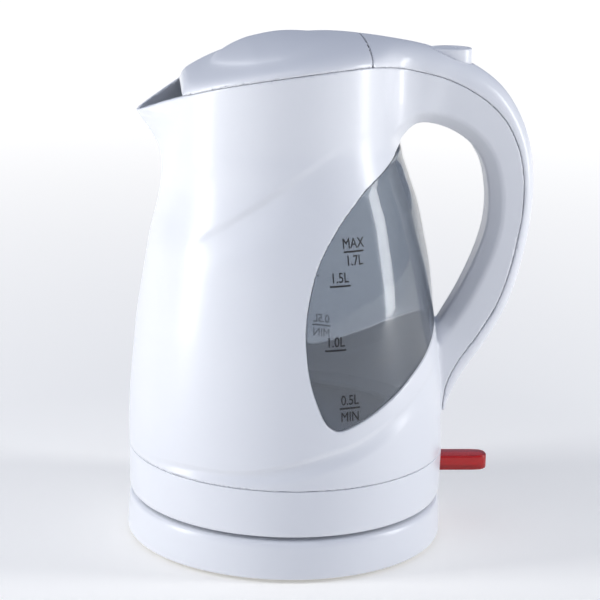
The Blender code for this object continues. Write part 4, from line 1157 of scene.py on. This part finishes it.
def filter_frame():
    frame_bar = rounded_box("filter_surround", (-55.9, -19.1, 192.3), (-53.7, 19.1, 213.0), white,
                            0.5)
    hole = rounded_box("hole", (-60, -15.5, 194.6), (-50, 15.5, 210.8), white, 0.8)
    return cut(frame_bar, hole)


def filter_gauze():
    """Woven gauze inside the filter frame."""
    ys, zs = np.linspace(-15.5, 15.5, 23), np.linspace(194.6, 210.8, 13)
    verts = [(-54.85, y, z) for z in zs for y in ys]
    faces = [[j * 23 + i, j * 23 + i + 1, (j + 1) * 23 + i + 1, (j + 1) * 23 + i]
             for j in range(12) for i in range(22)]
    ob = publish("filter_gauze", verts, faces, MATS["silicone"])
    wires = ob.modifiers.new("wires", "WIREFRAME")
    wires.thickness = 0.5 * MM
    wires.use_replace = True
    wires.use_boundary = True
    baked(ob)
    return ob


place(filter_frame(), "kettle", "white_plastic", "spout_filter_frame")
place(filter_gauze(), "kettle", "silicone", "filter_mesh")

for node, ob in frame["nodes"].items():
    if not ob.hide_render:
        ob.data.materials.clear()
        ob.data.materials.append(MATS[SLOT_OF[node]])


# ---------- studio and camera

def floor():
    mesh = bpy.data.meshes.new("floor")
    turn = [2 * math.pi * k / 64 for k in range(64)]
    mesh.from_pydata([(6 * math.cos(t), 6 * math.sin(t), -0.0003) for t in turn], [],
                     [list(range(64))])
    ob = stand("floor", mesh)
    m = Nodes("floor", (0.93, 0.92, 0.9), 0.8)
    m.tint(m.noise(3.0, 3.0, 0.5), (0.93, 0.92, 0.9), (0.92, 0.91, 0.89))
    m.set(Emission_Color=(1.0, 0.96, 0.86, 1.0))
    reach = m.new("VectorMath")
    reach.operation = "LENGTH"
    m.join(m.coords, reach.inputs[0])
    m.link(m.spread(reach.outputs["Value"], 0.2, 0.8, 0.25, 1.4), "Emission Strength")
    mesh.materials.append(m.mat)


SKY = (0.268, 0.305, 0.405, 1.0)        # what the object reflects and is lit by
BACKDROP = (1.0, 1.0, 1.0, 1.0)         # what stands behind it
LIT = Vector((0, 0, 0.13))
LIGHTS = [("left", (0.36, 1.2), 13.0, (-1.34, -0.22, 0.5)),
          ("above", (0.9, 0.9), 1.8, (-0.35, -0.6, 1.4)),
          ("right", (0.28, 1.1), 10.0, (1.35, -0.2, 0.5))]


def studio():
    scene = bpy.context.scene
    world = bpy.data.worlds.new("studio")
    world.use_nodes = True
    nodes, links = world.node_tree.nodes, world.node_tree.links
    back = nodes["Background"]
    back.inputs["Color"].default_value = SKY
    back.inputs["Strength"].default_value = 0.95
    seen = nodes.new("ShaderNodeBackground")
    seen.inputs["Color"].default_value = BACKDROP
    seen.inputs["Strength"].default_value = 1.0
    ray = nodes.new("ShaderNodeLightPath")
    mix = nodes.new("ShaderNodeMixShader")
    links.new(ray.outputs["Is Camera Ray"], mix.inputs[0])
    links.new(back.outputs[0], mix.inputs[1])
    links.new(seen.outputs[0], mix.inputs[2])
    links.new(mix.outputs[0], nodes["World Output"].inputs["Surface"])
    scene.world = world
    for name, size, energy, place_at in LIGHTS:
        data = bpy.data.lights.new(name, "AREA")
        data.shape = "RECTANGLE"
        data.size, data.size_y = size
        data.energy = energy
        ob = stand(name, data)
        ob.location = place_at
        ob.rotation_euler = (LIT - Vector(place_at)).to_track_quat("-Z", "Y").to_euler()
    scene.view_settings.view_transform = "Standard"
    scene.view_settings.look = "None"


def photo_camera():
    """Long lens a little above the lid, looking down on the near flank."""
    azimuth, elevation, roll = math.radians(-5.0), math.radians(14.95), math.radians(1.49)
    distance, shift, target_z = 1.0667, 0.00565, 0.1199
    view = Matrix.Rotation(azimuth, 3, "Z") @ Matrix.Rotation(math.pi / 2 - elevation, 3, "X")
    data = bpy.data.cameras.new("camera")
    data.lens = 127.4
    data.sensor_width = 36.0
    data.clip_start, data.clip_end = 0.05, 20.0
    ob = stand("camera", data)
    ob.matrix_world = (view @ Matrix.Rotation(roll, 3, "Z")).to_4x4()
    ob.location = view @ Vector((shift, 0, distance)) + Vector((0, 0, target_z))
    bpy.context.scene.camera = ob


floor()
studio()
photo_camera()
